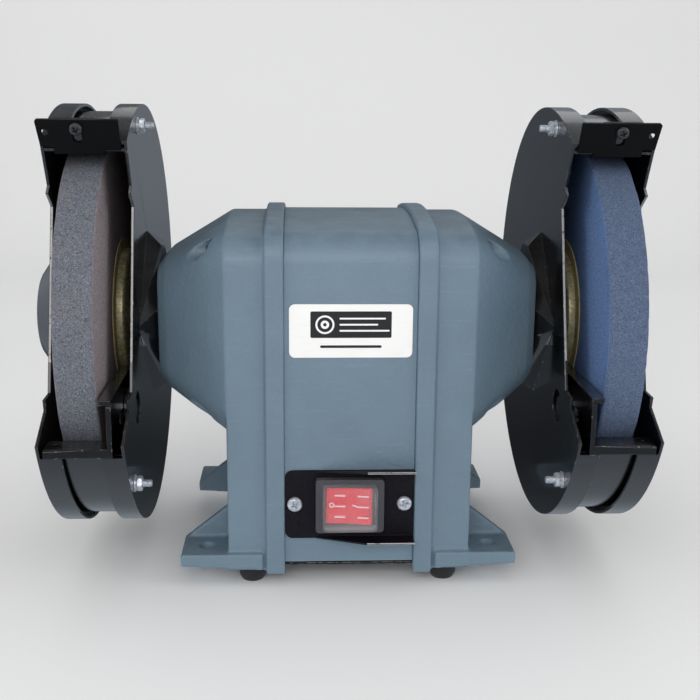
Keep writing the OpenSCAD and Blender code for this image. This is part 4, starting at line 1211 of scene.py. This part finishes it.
def softbox(name, place, target, width, height, power):
    light = bpy.data.lights.new(name, "AREA")
    light.shape = "RECTANGLE"
    light.size, light.size_y = width, height
    light.energy = power
    lamp = bpy.data.objects.new(name, light)
    lamp.location = place
    lamp.rotation_mode = "QUATERNION"
    lamp.rotation_quaternion = (Vector(target) - Vector(place)).to_track_quat("-Z", "Y")
    bpy.context.scene.collection.objects.link(lamp)
    return lamp


def gloss_room(tree, dimmest):
    """What gloss sees of the room: dark low behind, brighter high up, in front, below and beside."""
    source = add_node(tree, "ShaderNodeTexCoord")
    split = separate_axes(tree, source.outputs["Generated"])
    x, y, z = (split.outputs[axis] for axis in "XYZ")
    sides = band_mask(tree, math_node(tree, "ABSOLUTE", x), 0.3, 0.8)
    high = band_mask(tree, z, -0.34, -0.06)
    high_right = math_node(tree, "MULTIPLY", band_mask(tree, x, 0.0, 0.2), high)
    low = band_mask(tree, z, -0.3, -0.6)
    low_front = math_node(tree, "MULTIPLY", math_node(tree, "ADD", y, z), -0.7)
    front = band_mask(tree, low_front, 0.25, 0.75)
    total = dimmest
    for mask, strength in ((sides, 0.4), (high, 0.11), (high_right, 0.18), (front, 0.26), (low, 0.38)):
        total = multiply_add(tree, mask, strength, total)
    return total


class GRINDER_OT_studio(bpy.types.Operator):
    """Camera, softboxes and the pale floor with its swept back"""

    bl_idname = "grinder.studio"
    bl_label = "Studio"

    def execute(self, context):
        settings = studio()
        scene = context.scene
        lens = bpy.data.cameras.new("Camera")
        lens.lens = settings.lens
        lens.sensor_width = 36
        lens.clip_start = 0.01
        camera = bpy.data.objects.new("Camera", lens)
        camera.matrix_world = Matrix.Translation(settings.camera_place) @ sight_matrix(settings).to_4x4()
        scene.collection.objects.link(camera)
        scene.camera = camera
        scene.view_settings.view_transform = "Standard"

        middle = (0, 0, 0.13)
        softbox("Key softbox", (-0.25, -1.5, 0.78), middle, 1.1, 0.8, settings.key_light)
        softbox("Left softbox", (-1.3, -0.5, 0.6), middle, 0.7, 1.0, settings.fill_light * 1.2)
        softbox("Right softbox", (1.3, -0.5, 0.6), middle, 0.7, 1.0, settings.fill_light * 1.6)
        softbox("Rear softbox", (0.2, 1.2, 1.0), middle, 1.2, 0.5, settings.fill_light * 0.4)

        world = bpy.data.worlds.new("Studio room")
        world.use_nodes = True
        tree = world.node_tree
        room = tree.nodes["Background"]
        room.inputs["Color"].default_value = (1, 1, 1, 1)
        room.inputs["Strength"].default_value = settings.room_light
        dark = add_node(tree, "ShaderNodeBackground", {"Color": (0.78, 0.88, 1.0, 1)})
        join(tree, gloss_room(tree, settings.gloss_light), dark.inputs["Strength"])
        ray = add_node(tree, "ShaderNodeLightPath")
        choice = add_node(tree, "ShaderNodeMixShader")
        join(tree, ray.outputs["Is Glossy Ray"], choice.inputs["Fac"])
        join(tree, room.outputs["Background"], choice.inputs[1])
        join(tree, dark.outputs["Background"], choice.inputs[2])
        join(tree, choice.outputs["Shader"], tree.nodes["World Output"].inputs["Surface"])
        scene.world = world

        shape = bmesh.new()
        near, far, height, bend, reach = -2.5, 1.6, 2.4, 0.6, 3.0
        bend_steps = 12
        outline = [(near, 0.0), (far - bend, 0.0)]
        for k in range(1, bend_steps + 1):
            angle = math.pi / 2 * k / bend_steps
            outline.append((far - bend + bend * math.sin(angle), bend - bend * math.cos(angle)))
        outline.append((far, height))
        rows = [[shape.verts.new((x, y, z)) for x in (-reach, reach)] for y, z in outline]
        for a, b in zip(rows, rows[1:]):
            shape.faces.new((a[0], a[1], b[1], b[0]))
        mesh = bpy.data.meshes.new("Studio_floor")
        shape.to_mesh(mesh)
        shape.free()
        mesh.materials.append(finish("studio_floor"))
        mesh.polygons.foreach_set("use_smooth", [True] * len(mesh.polygons))
        floor = bpy.data.objects.new("Studio_floor", mesh)
        scene.collection.objects.link(floor)
        floor.visible_glossy = False
        return {"FINISHED"}


# ---------------------------------------------------------------- body


class GRINDER_OT_castings(bpy.types.Operator):
    """End castings with the soft edges of a sand casting under enamel"""

    bl_idname = "grinder.castings"
    bl_label = "End castings"

    def execute(self, context):
        for side, _ in ENDS:
            node = "casting_" + side
            piece = put(f"End_casting_{side}", cad_copy(node), [node], smooth_angle=180, weighted=False)
            skin = piece.modifiers.new("Cast skin", "REMESH")
            skin.mode = "VOXEL"
            skin.voxel_size = details().casting_grain
            skin.use_smooth_shade = True
            edges = piece.modifiers.new("Soft edges", "SMOOTH")
            edges.factor = 0.5
            edges.iterations = 4
        return {"FINISHED"}


class GRINDER_OT_shell(bpy.types.Operator):
    """Centre shell between the castings"""

    bl_idname = "grinder.shell"
    bl_label = "Centre shell"

    def execute(self, context):
        shape = soften(cad_copy("centre_shell"), [(0.5 * MM, 2, None)])
        put("Centre_shell", shape, ["centre_shell"], smooth_angle=38)
        return {"FINISHED"}


class GRINDER_OT_base(bpy.types.Operator):
    """Base cover, rubber feet and their screws"""

    bl_idname = "grinder.base"
    bl_label = "Base"

    def execute(self, context):
        put("Base_cover", soften(cad_copy("base_cover"), [(0.3 * MM, 2, None)]), ["base_cover"])
        feet = bmesh.new()
        recess_r, recess_h = 4.2 * MM, 4 * MM
        for points in solids("rubber_feet"):
            at = measure(points, UP)
            r, low, high, bore = at["radius"], at["low"], at["high"], at["bore"]
            profile = [
                (bore, low + recess_h),
                (recess_r, low + recess_h),
                (recess_r, low),
                (r - 1.6 * MM, low),
                (r - 0.2 * MM, low + 2.6 * MM),
                (r, low + 4.6 * MM),
                (r, high - 1.2 * MM),
                (r - 0.8 * MM, high),
                (bore, high),
            ]
            revolve(feet, rounded_profile(profile, 0.6 * MM, 3), at["matrix"], 56)
        put("Rubber_feet", feet, ["rubber_feet"])
        put("Base_screws", screws(bmesh.new(), "base_screws", lambda points: -UP), ["base_screws"])
        return {"FINISHED"}


class GRINDER_OT_through_bolts(bpy.types.Operator):
    """Four long bolts that clamp the castings on the stator, and their nuts"""

    bl_idname = "grinder.through_bolts"
    bl_label = "Through bolts"

    def execute(self, context):
        thread_length, dished = 22 * MM, -0.6 * MM
        shape = bmesh.new()
        for points in solids("through_bolts"):
            at = measure(points, ALONG_X)
            low, head = at["low"], at["head"]
            turned = corner_first(at)
            hex_nut(shape, turned, flats_of(at), 0, head, at["high"], (False, True), dished)
            rod(shape, turned, at["shank"], low, head + INTO_HEAD, (low, low + thread_length), M5_PITCH)
        # The heads carry a dark blue-grey: painted shade at the bottom of the deep pockets.
        put("Through_bolts", shape, ["through_bolts"], slot="black_screw", look="bolt_in_pocket")
        nuts = bmesh.new()
        for points in solids("through_bolt_nuts"):
            at = measure(points, -ALONG_X)
            hex_nut(nuts, corner_first(at), flats_of(at), at["bore"], at["low"], at["high"])
        put("Through_bolt_nuts", nuts, ["through_bolt_nuts"])
        return {"FINISHED"}


# ---------------------------------------------------------------- motor


class GRINDER_OT_motor(bpy.types.Operator):
    """Stator, windings, rotor, bearings and the parts in the base"""

    bl_idname = "grinder.motor"
    bl_label = "Motor"

    def execute(self, context):
        hidden_inside = (
            "stator_core",
            "stator_windings",
            "rotor_core",
            "rotor_end_rings",
            "bearing_outer_rings",
            "bearing_inner_rings",
            "bearing_balls",
            "bearing_spring_washer",
            "capacitor",
            "capacitor_clip",
            "switch_terminals",
        )
        for node in hidden_inside:
            mesh = NODES[node].data
            mesh.materials.clear()
            mesh.materials.append(finish(SLOT_OF[node]))
        return {"FINISHED"}


class GRINDER_OT_spindle(bpy.types.Operator):
    """Ground spindle with a thread at each end, left-hand on the left"""

    bl_idname = "grinder.spindle"
    bl_label = "Spindle"

    def execute(self, context):
        shape = bmesh.new()
        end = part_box("spindle")[1].x
        nut_high, bearing_high, core_high, flange_high = (
            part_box(node)[1]
            for node in ("spindle_nuts", "bearing_inner_rings", "rotor_core", "inner_flanges")
        )
        middle = facing(SPINDLE_AT, ALONG_X)
        nut_length, bearing_width, flange_length, core_past = 13 * MM, 12 * MM, 7 * MM, 8 * MM
        arbor, journal, core = 8 * MM, 8.5 * MM, 11 * MM
        shoulder = journal + 1.2 * MM
        core_cut, shoulder_cut, journal_cut = 1 * MM, 0.3 * MM, 0.4 * MM
        nut_x, flange_x = nut_high.x - nut_length, flange_high.x - flange_length
        core_x, bearing_x = core_high.x + core_past, bearing_high.x - bearing_width
        right = [
            (core, core_x - core_cut),
            (core - core_cut, core_x),
            (shoulder, core_x),
            (shoulder, bearing_x - shoulder_cut),
            (shoulder - shoulder_cut, bearing_x),
            (journal, bearing_x),
            (journal, flange_x - journal_cut),
            (journal - journal_cut, flange_x),
            (arbor, flange_x),
            (arbor, nut_x),
        ]
        profile = [(0, -nut_x)] + [(r, -x) for r, x in reversed(right)] + right + [(0, nut_x)]
        revolve(shape, profile, middle, 64)
        pitch = details().coarse_pitch
        for _, hand in ENDS:
            end_on = facing(SPINDLE_AT, ALONG_X * hand)
            thread = (nut_x, end - 0.2 * MM)
            rod(shape, end_on, arbor, nut_x - 1 * MM, end, thread, pitch, hand, 48)
        put("Spindle", shape, ["spindle"])
        return {"FINISHED"}


# ---------------------------------------------------------------- guards


def show_cut_edges(shape, guard_radius, lowest):
    """Gives the sheared edges round the guard's opening their bare steel, down to a height."""
    sheet, opening_y, small_face = 2.2 * MM, -35 * MM, 40 * MM * MM
    for face in shape.faces:
        middle = face.calc_center_median() - SPINDLE_AT
        if middle.z < lowest or middle.y >= opening_y or abs(face.normal.x) >= 0.35:
            continue
        xs = [v.co.x for v in face.verts]
        from_axis = Vector((0, middle.y, middle.z))
        turned_out = abs(face.normal.dot(from_axis.normalized()))
        inside_rim = from_axis.length < guard_radius * 0.93
        narrow = max(xs) - min(xs) < sheet and (inside_rim or turned_out < 0.75)
        if narrow or (turned_out < 0.6 and face.calc_area() < small_face):
            face.material_index = 1


class GRINDER_OT_guards(bpy.types.Operator):
    """Guard discs, rim bands and outer covers"""

    bl_idname = "grinder.guards"
    bl_label = "Wheel guards"

    def execute(self, context):
        edge, bare_down_to = details().sheet_edge, -12 * MM
        low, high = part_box("guard_disc_left")
        radius = (high.z - low.z) / 2
        for side, _ in ENDS:
            for part in ("disc", "band", "cover"):
                node = f"guard_{part}_{side}"
                shape = cad_copy(node)
                bmesh.ops.dissolve_limit(
                    shape, angle_limit=math.radians(0.1), verts=shape.verts, edges=shape.edges
                )
                lowest = -radius if part == "band" else bare_down_to
                if part != "band":
                    bmesh.ops.bisect_plane(
                        shape,
                        geom=shape.verts[:] + shape.edges[:] + shape.faces[:],
                        plane_co=SPINDLE_AT + UP * lowest,
                        plane_no=UP,
                    )
                shape.normal_update()
                show_cut_edges(shape, radius, lowest)
                soften(shape, [(edge, 2, None)], sharp=36, flat=0.1)
                put(f"Guard_{part}_{side}", shape, [node], ["cut_steel"], smooth_angle=30)
        return {"FINISHED"}


class GRINDER_OT_guard_fasteners(bpy.types.Operator):
    """Screws through the guards, their nuts and washers"""

    bl_idname = "grinder.guard_fasteners"
    bl_label = "Guard fasteners"

    def execute(self, context):
        cover_thread, guard_thread = 16 * MM, 10 * MM
        shape = screws(bmesh.new(), "cover_screws", outward, cover_thread, details().fine_pitch)
        put("Cover_screws", shape, ["cover_screws"])
        shape = screws(bmesh.new(), "guard_screws", outward, guard_thread, M5_PITCH)
        put("Guard_screws", shape, ["guard_screws"])
        flats, washer_r, spring_r = 7 * MM, 4.5 * MM, 3.7 * MM
        washer_t, spring_t, spring_room = 0.8 * MM, 0.5 * MM, 0.7 * MM
        shape = bmesh.new()
        for points in solids("cover_nuts"):
            at = measure(points, -outward(points))
            turned = at["matrix"] @ Matrix.Rotation(0.3 + at["corner"], 4, "Z")
            bore, base = at["bore"], at["low"]
            spring_base = base + washer_t
            washer(shape, turned, bore, washer_r, base, spring_base)
            spring_washer(shape, turned, bore, spring_r, spring_base, spring_t)
            hex_nut(shape, turned, flats, bore, spring_base + spring_room, at["high"])
        put("Cover_nuts", shape, ["cover_nuts"])
        return {"FINISHED"}


# ---------------------------------------------------------------- rests and arrestors


class GRINDER_OT_spark_arrestors(bpy.types.Operator):
    """Spark arrestor plates and their screws"""

    bl_idname = "grinder.spark_arrestors"
    bl_label = "Spark arrestors"

    def execute(self, context):
        edge = details().sheet_edge
        slide = Vector(JOINT["arrestor_left_slide"]["axis"])
        forward = slide.cross(ALONG_X).normalized()
        if forward.y > 0:
            forward = -forward
        for side, _ in ENDS:
            node = "spark_arrestor_" + side
            shape = soften(cad_copy(node), [(edge, 2, None)])
            put("Spark_arrestor_" + side, shape, [node], look="matt_black")
        shape = screws(bmesh.new(), "arrestor_screws", lambda points: forward)
        put("Arrestor_screws", shape, ["arrestor_screws"])
        return {"FINISHED"}


class GRINDER_OT_tool_rests(bpy.types.Operator):
    """Tool rests with their folded front edge, bolts and nuts"""

    bl_idname = "grinder.tool_rests"
    bl_label = "Tool rests"

    def execute(self, context):
        bend, near = 1.3 * MM, 0.1 * MM
        plate_top = SPINDLE_AT.z - 47.5 * MM
        for side, _ in ENDS:
            node = "tool_rest_" + side
            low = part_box(node)[0]

            def front_bend(e):
                return all(
                    abs(v.co.y - low.y) < near and abs(v.co.z - plate_top) < near for v in e.verts
                )

            shape = soften(cad_copy(node), [(bend, 4, front_bend), (details().sheet_edge, 2, None)])
            put("Tool_rest_" + side, shape, [node])
        bolt_r, head, washer_r, washer_t, flats = 3 * MM, 3.4 * MM, 6 * MM, 1 * MM, 10 * MM
        bolts = bmesh.new()
        for points in solids("tool_rest_bolts"):
            at = measure(points, outward(points))
            turned = corner_first(at)
            under, tip = at["low"] + head, at["high"]
            hex_nut(bolts, turned, flats_of(at), 0, at["low"], under, (True, False), 0)
            rod(bolts, turned, bolt_r, under - INTO_HEAD, tip, (under, tip), M6_PITCH)
        put("Tool_rest_bolts", bolts, ["tool_rest_bolts"])
        nuts = bmesh.new()
        for points in solids("tool_rest_nuts"):
            at = measure(points, outward(points))
            turned = corner_first(at)
            base = at["low"]
            washer(nuts, turned, at["bore"], washer_r, base, base + washer_t)
            hex_nut(nuts, turned, flats, at["bore"], base + washer_t, at["high"])
        put("Tool_rest_nuts", nuts, ["tool_rest_nuts"])
        return {"FINISHED"}


# ---------------------------------------------------------------- wheels


def chipped_wheel(shape, matrix, bore, radius, low, high, corner, chip, seed):
    """A grinding wheel whose corners are rounded and chipped; seed shifts the roughness."""
    turns, rows = 360, 14
    fade, bush, face_grain, side_grain = 3 * MM, 2 * MM, 0.10 * MM, 0.05 * MM
    side = [bore + (radius - corner - bore) * k / rows for k in range(rows + 1)]
    arc = [(corner * math.sin(a), corner * (1 - math.cos(a))) for a in (math.pi / 8 * k for k in (1, 2, 3))]
    span = high - low - 2 * corner
    profile = [(r, low) for r in side]
    profile += [(radius - corner + x, low + y) for x, y in arc]
    profile += [(radius, low + corner + span * k / rows) for k in range(rows + 1)]
    profile += [(radius - corner + x, high - y) for x, y in reversed(arc)]
    profile += [(r, high) for r in reversed(side)]
    rings = []
    for k in range(turns):
        angle = FULL_TURN * k / turns
        ring = []
        for r, z in profile:
            spot = Vector((r * math.cos(angle), r * math.sin(angle), z + seed))
            rough = noise.noise(spot * 420) * 0.5 + noise.noise(spot * 900) * 0.3
            reach, height = r, z
            if r > bore + bush:
                near_rim = max(0.0, 1 - (radius - r) / fade)
                near_side = max(0.0, 1 - min(z - low, high - z) / fade)
                bite = max(0.0, noise.noise(spot * 160) - 0.12) * chip * 3
                reach -= (face_grain * (1 + rough)) * near_rim + bite * near_rim * near_side
                inward = 1 if z < (low + high) / 2 else -1
                if near_side > 0.99:
                    height += inward * (side_grain * (1 + rough) + bite * 0.6 * near_rim)
            ring.append(polar_vert(shape, matrix, reach, angle, height))
        rings.append(ring)
    count = len(profile)
    for k in range(turns):
        a, b = rings[k], rings[(k + 1) % turns]
        for i in range(count):
            j = (i + 1) % count
            shape.faces.new((a[i], b[i], b[j], a[j]))
    bmesh.ops.recalc_face_normals(shape, faces=shape.faces)
    return shape


class GRINDER_OT_wheels(bpy.types.Operator):
    """Coarse wheel on the left, fine wheel on the right"""

    bl_idname = "grinder.wheels"
    bl_label = "Grinding wheels"

    def execute(self, context):
        settings = details()
        across, bore, apart = facing(SPINDLE_AT, ALONG_X), 8.05 * MM, 3.1
        corner, chip = settings.wheel_corner, settings.wheel_chip
        for side, way in ENDS:
            node = "grinding_wheel_" + side
            low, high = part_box(node)
            radius = (high.z - low.z) / 2
            shape = chipped_wheel(
                bmesh.new(), across, bore, radius, low.x, high.x, corner, chip, way * apart
            )
            put("Grinding_wheel_" + side, shape, [node], smooth_angle=60, weighted=False)
        return {"FINISHED"}


class GRINDER_OT_flanges(bpy.types.Operator):
    """Paper blotters, pressed flanges and the spindle nuts"""

    bl_idname = "grinder.flanges"
    bl_label = "Flanges and nuts"

    def execute(self, context):
        shape = bmesh.new()
        for points in solids("blotters"):
            at = measure(points, ALONG_X)
            sizes = (at["bore"], at["radius"], at["low"], at["high"])
            washer(shape, at["matrix"], *sizes, edge=0.12 * MM, steps=120)
        put("Blotters", shape, ["blotters"])
        for node, name in (("inner_flanges", "Inner_flanges"), ("outer_flanges", "Outer_flanges")):
            shape = soften(cad_copy(node), [(0.7 * MM, 3, None)], sharp=24)
            put(name, shape, [node])
        shape = bmesh.new()
        for points in solids("spindle_nuts"):
            at = measure(points, outward(points))
            hex_nut(shape, corner_first(at), flats_of(at), at["bore"], at["low"], at["high"])
        put("Spindle_nuts", shape, ["spindle_nuts"])
        return {"FINISHED"}


# ---------------------------------------------------------------- switch, label and gland


def prism(shape, outline, matrix, low, high, finish_index=0):
    """A closed prism over a 2-D outline, from low to high along the matrix's local Z."""
    bottom = [shape.verts.new(matrix @ Vector((x, y, low))) for x, y in outline]
    top = [shape.verts.new(matrix @ Vector((x, y, high))) for x, y in outline]
    made = [shape.faces.new(top), shape.faces.new(bottom[::-1])]
    for k in range(len(outline)):
        n = (k + 1) % len(outline)
        made.append(shape.faces.new((bottom[k], bottom[n], top[n], top[k])))
    for face in made:
        face.material_index = finish_index
    return shape


def pill(half_length, half_width, steps=6):
    """Outline of a bar with round ends."""
    outline = []
    straight = half_length - half_width
    for centre, start in ((straight, -math.pi / 2), (-straight, math.pi / 2)):
        for k in range(steps + 1):
            angle = start + math.pi * k / steps
            outline.append((centre + half_width * math.cos(angle), half_width * math.sin(angle)))
    return outline


def rounded_rectangle(half_width, half_height, radius, steps=6):
    """Outline of a rectangle with round corners."""
    outline = []
    for sx, sy, start in ((1, 1, 0), (-1, 1, 1), (-1, -1, 2), (1, -1, 3)):
        x, y = sx * (half_width - radius), sy * (half_height - radius)
        for k in range(steps + 1):
            angle = math.pi / 2 * (start + k / steps)
            outline.append((x + radius * math.cos(angle), y + radius * math.sin(angle)))
    return outline


class GRINDER_OT_switch(bpy.types.Operator):
    """Switch plate, bezel, rocker with its raised marks, and the clear boot"""

    bl_idname = "grinder.switch"
    bl_label = "Switch"

    def execute(self, context):
        plate = soften(cad_copy("switch_plate"), [(details().sheet_edge, 2, None)])
        wear_and_highlight_layer = plate.faces.layers.float["edge_wear"]
        wing_back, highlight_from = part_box("switch_plate")[0].y + 2.5 * MM, 7 * MM
        # Edges behind the front of the wings or left of the plate's middle lose the mark; the front edges
        # on the right carry painted white highlights.
        for face in plate.faces:
            middle = face.calc_center_median()
            if middle.y > wing_back or middle.x < highlight_from:
                face[wear_and_highlight_layer] = 0.0
        put("Switch_plate", plate, ["switch_plate"], look="crinkle_black")
        shape = screws(bmesh.new(), "switch_plate_screws", lambda points: FORWARD)
        put("Switch_plate_screws", shape, ["switch_plate_screws"])
        edge = details().moulded_edge
        put("Switch_body", soften(cad_copy("switch_body"), [(edge, 3, None)]), ["switch_body"])
        self.rocker()
        boot = soften(cad_copy("rocker_boot"), [(0.35 * MM, 3, None)])
        put("Rocker_boot", boot, ["rocker_boot"])
        return {"FINISHED"}

    def rocker(self):
        """The rocker, its moulded bars, and a ring and a bar for off and on."""
        pivot = Vector(JOINT["rocker_tilt"]["pos_m"])
        swing = math.radians(JOINT["rocker_tilt"]["range_deg"][1])
        lean = Matrix.Translation(pivot) @ Matrix.Rotation(-swing / 2, 4, "Z")
        face_on = lean @ Matrix.Rotation(math.pi / 2, 4, "X")
        shape = cad_copy("rocker")
        bmesh.ops.dissolve_limit(
            shape, angle_limit=math.radians(0.8), verts=shape.verts, edges=shape.edges
        )
        shape.normal_update()
        back = lean.inverted()
        proud = min((back @ v.co).y for v in shape.verts)
        mark_depth, mark_width, mark_height = 1.2 * MM, 6.5 * MM, 1.5 * MM
        for face in shape.faces:
            middle = back @ face.calc_center_median()
            corners = [back @ v.co for v in face.verts]
            width, height = (max(c[i] for c in corners) - min(c[i] for c in corners) for i in (0, 2))
            if middle.y < proud + mark_depth and width < mark_width and height < mark_height:
                face.material_index = 1
        soften(shape, [(0.28 * MM, 2, None)], sharp=40)

        ring_x, bar_x, mark_z, raised = -8.9 * MM, 3.6 * MM, 1.9 * MM, 0.5 * MM
        root = -proud - 0.45 * MM
        inner, outer = 0.75 * MM, 1.45 * MM
        ring = rounded_profile([(inner, 0), (outer, 0), (outer, raised), (inner, raised)], 0.15 * MM, 2)
        place = face_on @ Matrix.Translation((ring_x, mark_z, root))
        revolve(shape, ring, place @ facing((0, 0, 0), UP), 32, 1)
        place = face_on @ Matrix.Translation((bar_x, mark_z, root)) @ Matrix.Rotation(-0.3, 4, "Z")
        prism(shape, pill(1.6 * MM, 0.38 * MM), place, 0, raised, 1)
        put("Rocker", shape, ["rocker"], ["rocker_mark"])


class GRINDER_OT_label(bpy.types.Operator):
    """Label with a plain printed emblem of a wheel and ruled lines"""

    bl_idname = "grinder.label"
    bl_label = "Label"

    def execute(self, context):
        low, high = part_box("label_plate")
        middle = (low + high) / 2
        half_width, half_height = (high.x - low.x) / 2, (high.z - low.z) / 2
        upright = Matrix.Translation((middle.x, high.y, middle.z)) @ Matrix.Rotation(math.pi / 2, 4, "X")
        top = high.y - low.y
        ink, print_top = top - 0.06 * MM, top - 0.015 * MM
        panel_z, rule_z = 3.4 * MM, -8.2 * MM

        def at(x, z):
            return upright @ Matrix.Translation((x, z, 0))

        shape = bmesh.new()
        prism(shape, rounded_rectangle(half_width, half_height, 3 * MM), upright, 0, top - 0.03 * MM)
        soften(shape, [(0.12 * MM, 2, None)])
        prism(shape, rounded_rectangle(21 * MM, 7 * MM, 0.8 * MM), at(0, panel_z), ink, print_top, 1)
        for inner, outer in ((3.9 * MM, 4.9 * MM), (0.9 * MM, 2.2 * MM)):
            ring = [(inner, ink), (outer, ink), (outer, top), (inner, top)]
            revolve(shape, ring, at(-13.5 * MM, panel_z), 48, 0)
        for x, z, half_length in ((6, 3.2, 12), (4, 0, 10), (7, -3.2, 13)):
            place = at(x * MM, panel_z + z * MM)
            prism(shape, pill(half_length * MM, 0.45 * MM), place, ink, top, 0)
        prism(shape, pill(16 * MM, 0.7 * MM), at(0, rule_z), ink, print_top, 1)
        put("Label", shape, ["label_plate"], ["label_ink"])
        return {"FINISHED"}


class GRINDER_OT_gland(bpy.types.Operator):
    """Cable gland and earth screw at the rear"""

    bl_idname = "grinder.gland"
    bl_label = "Cable gland"

    def execute(self, context):
        put("Cable_gland", soften(cad_copy("cable_gland"), [(0.45 * MM, 3, None)]), ["cable_gland"])
        shape = screws(bmesh.new(), "earth_screw", lambda points: FORWARD)
        put("Earth_screw", shape, ["earth_screw"])
        return {"FINISHED"}


PIECES = (
    GRINDER_OT_studio,
    GRINDER_OT_castings,
    GRINDER_OT_shell,
    GRINDER_OT_base,
    GRINDER_OT_through_bolts,
    GRINDER_OT_motor,
    GRINDER_OT_spindle,
    GRINDER_OT_guards,
    GRINDER_OT_guard_fasteners,
    GRINDER_OT_spark_arrestors,
    GRINDER_OT_tool_rests,
    GRINDER_OT_wheels,
    GRINDER_OT_flanges,
    GRINDER_OT_switch,
    GRINDER_OT_label,
    GRINDER_OT_gland,
)


class GRINDER_PT_pieces(bpy.types.Panel):
    """Buttons for the grinder's pieces, and its settings"""

    bl_idname = "GRINDER_PT_pieces"
    bl_label = "Bench Grinder"
    bl_space_type = "VIEW_3D"
    bl_region_type = "UI"
    bl_category = "Grinder"

    def draw(self, context):
        for piece in PIECES:
            self.layout.operator(piece.bl_idname)
        for settings in (finishes(), details(), studio()):
            box = self.layout.box()
            for name in settings.bl_rna.properties.keys():
                if name not in ("rna_type", "name"):
                    box.prop(settings, name)


CLASSES = (
    GrinderFinishSettings,
    GrinderDetailSettings,
    GrinderStudioSettings,
    *PIECES,
    GRINDER_PT_pieces,
)


def register():
    for cls in CLASSES:
        bpy.utils.register_class(cls)
    scene = bpy.types.Scene
    scene.grinder_finish = bpy.props.PointerProperty(type=GrinderFinishSettings)
    scene.grinder_detail = bpy.props.PointerProperty(type=GrinderDetailSettings)
    scene.grinder_studio = bpy.props.PointerProperty(type=GrinderStudioSettings)


def unregister():
    scene = bpy.types.Scene
    del scene.grinder_studio
    del scene.grinder_detail
    del scene.grinder_finish
    for cls in reversed(CLASSES):
        bpy.utils.unregister_class(cls)


def main():
    register()
    for piece in PIECES:
        getattr(bpy.ops.grinder, piece.bl_idname.split(".")[1])()


if __name__ == "__main__":
    main()
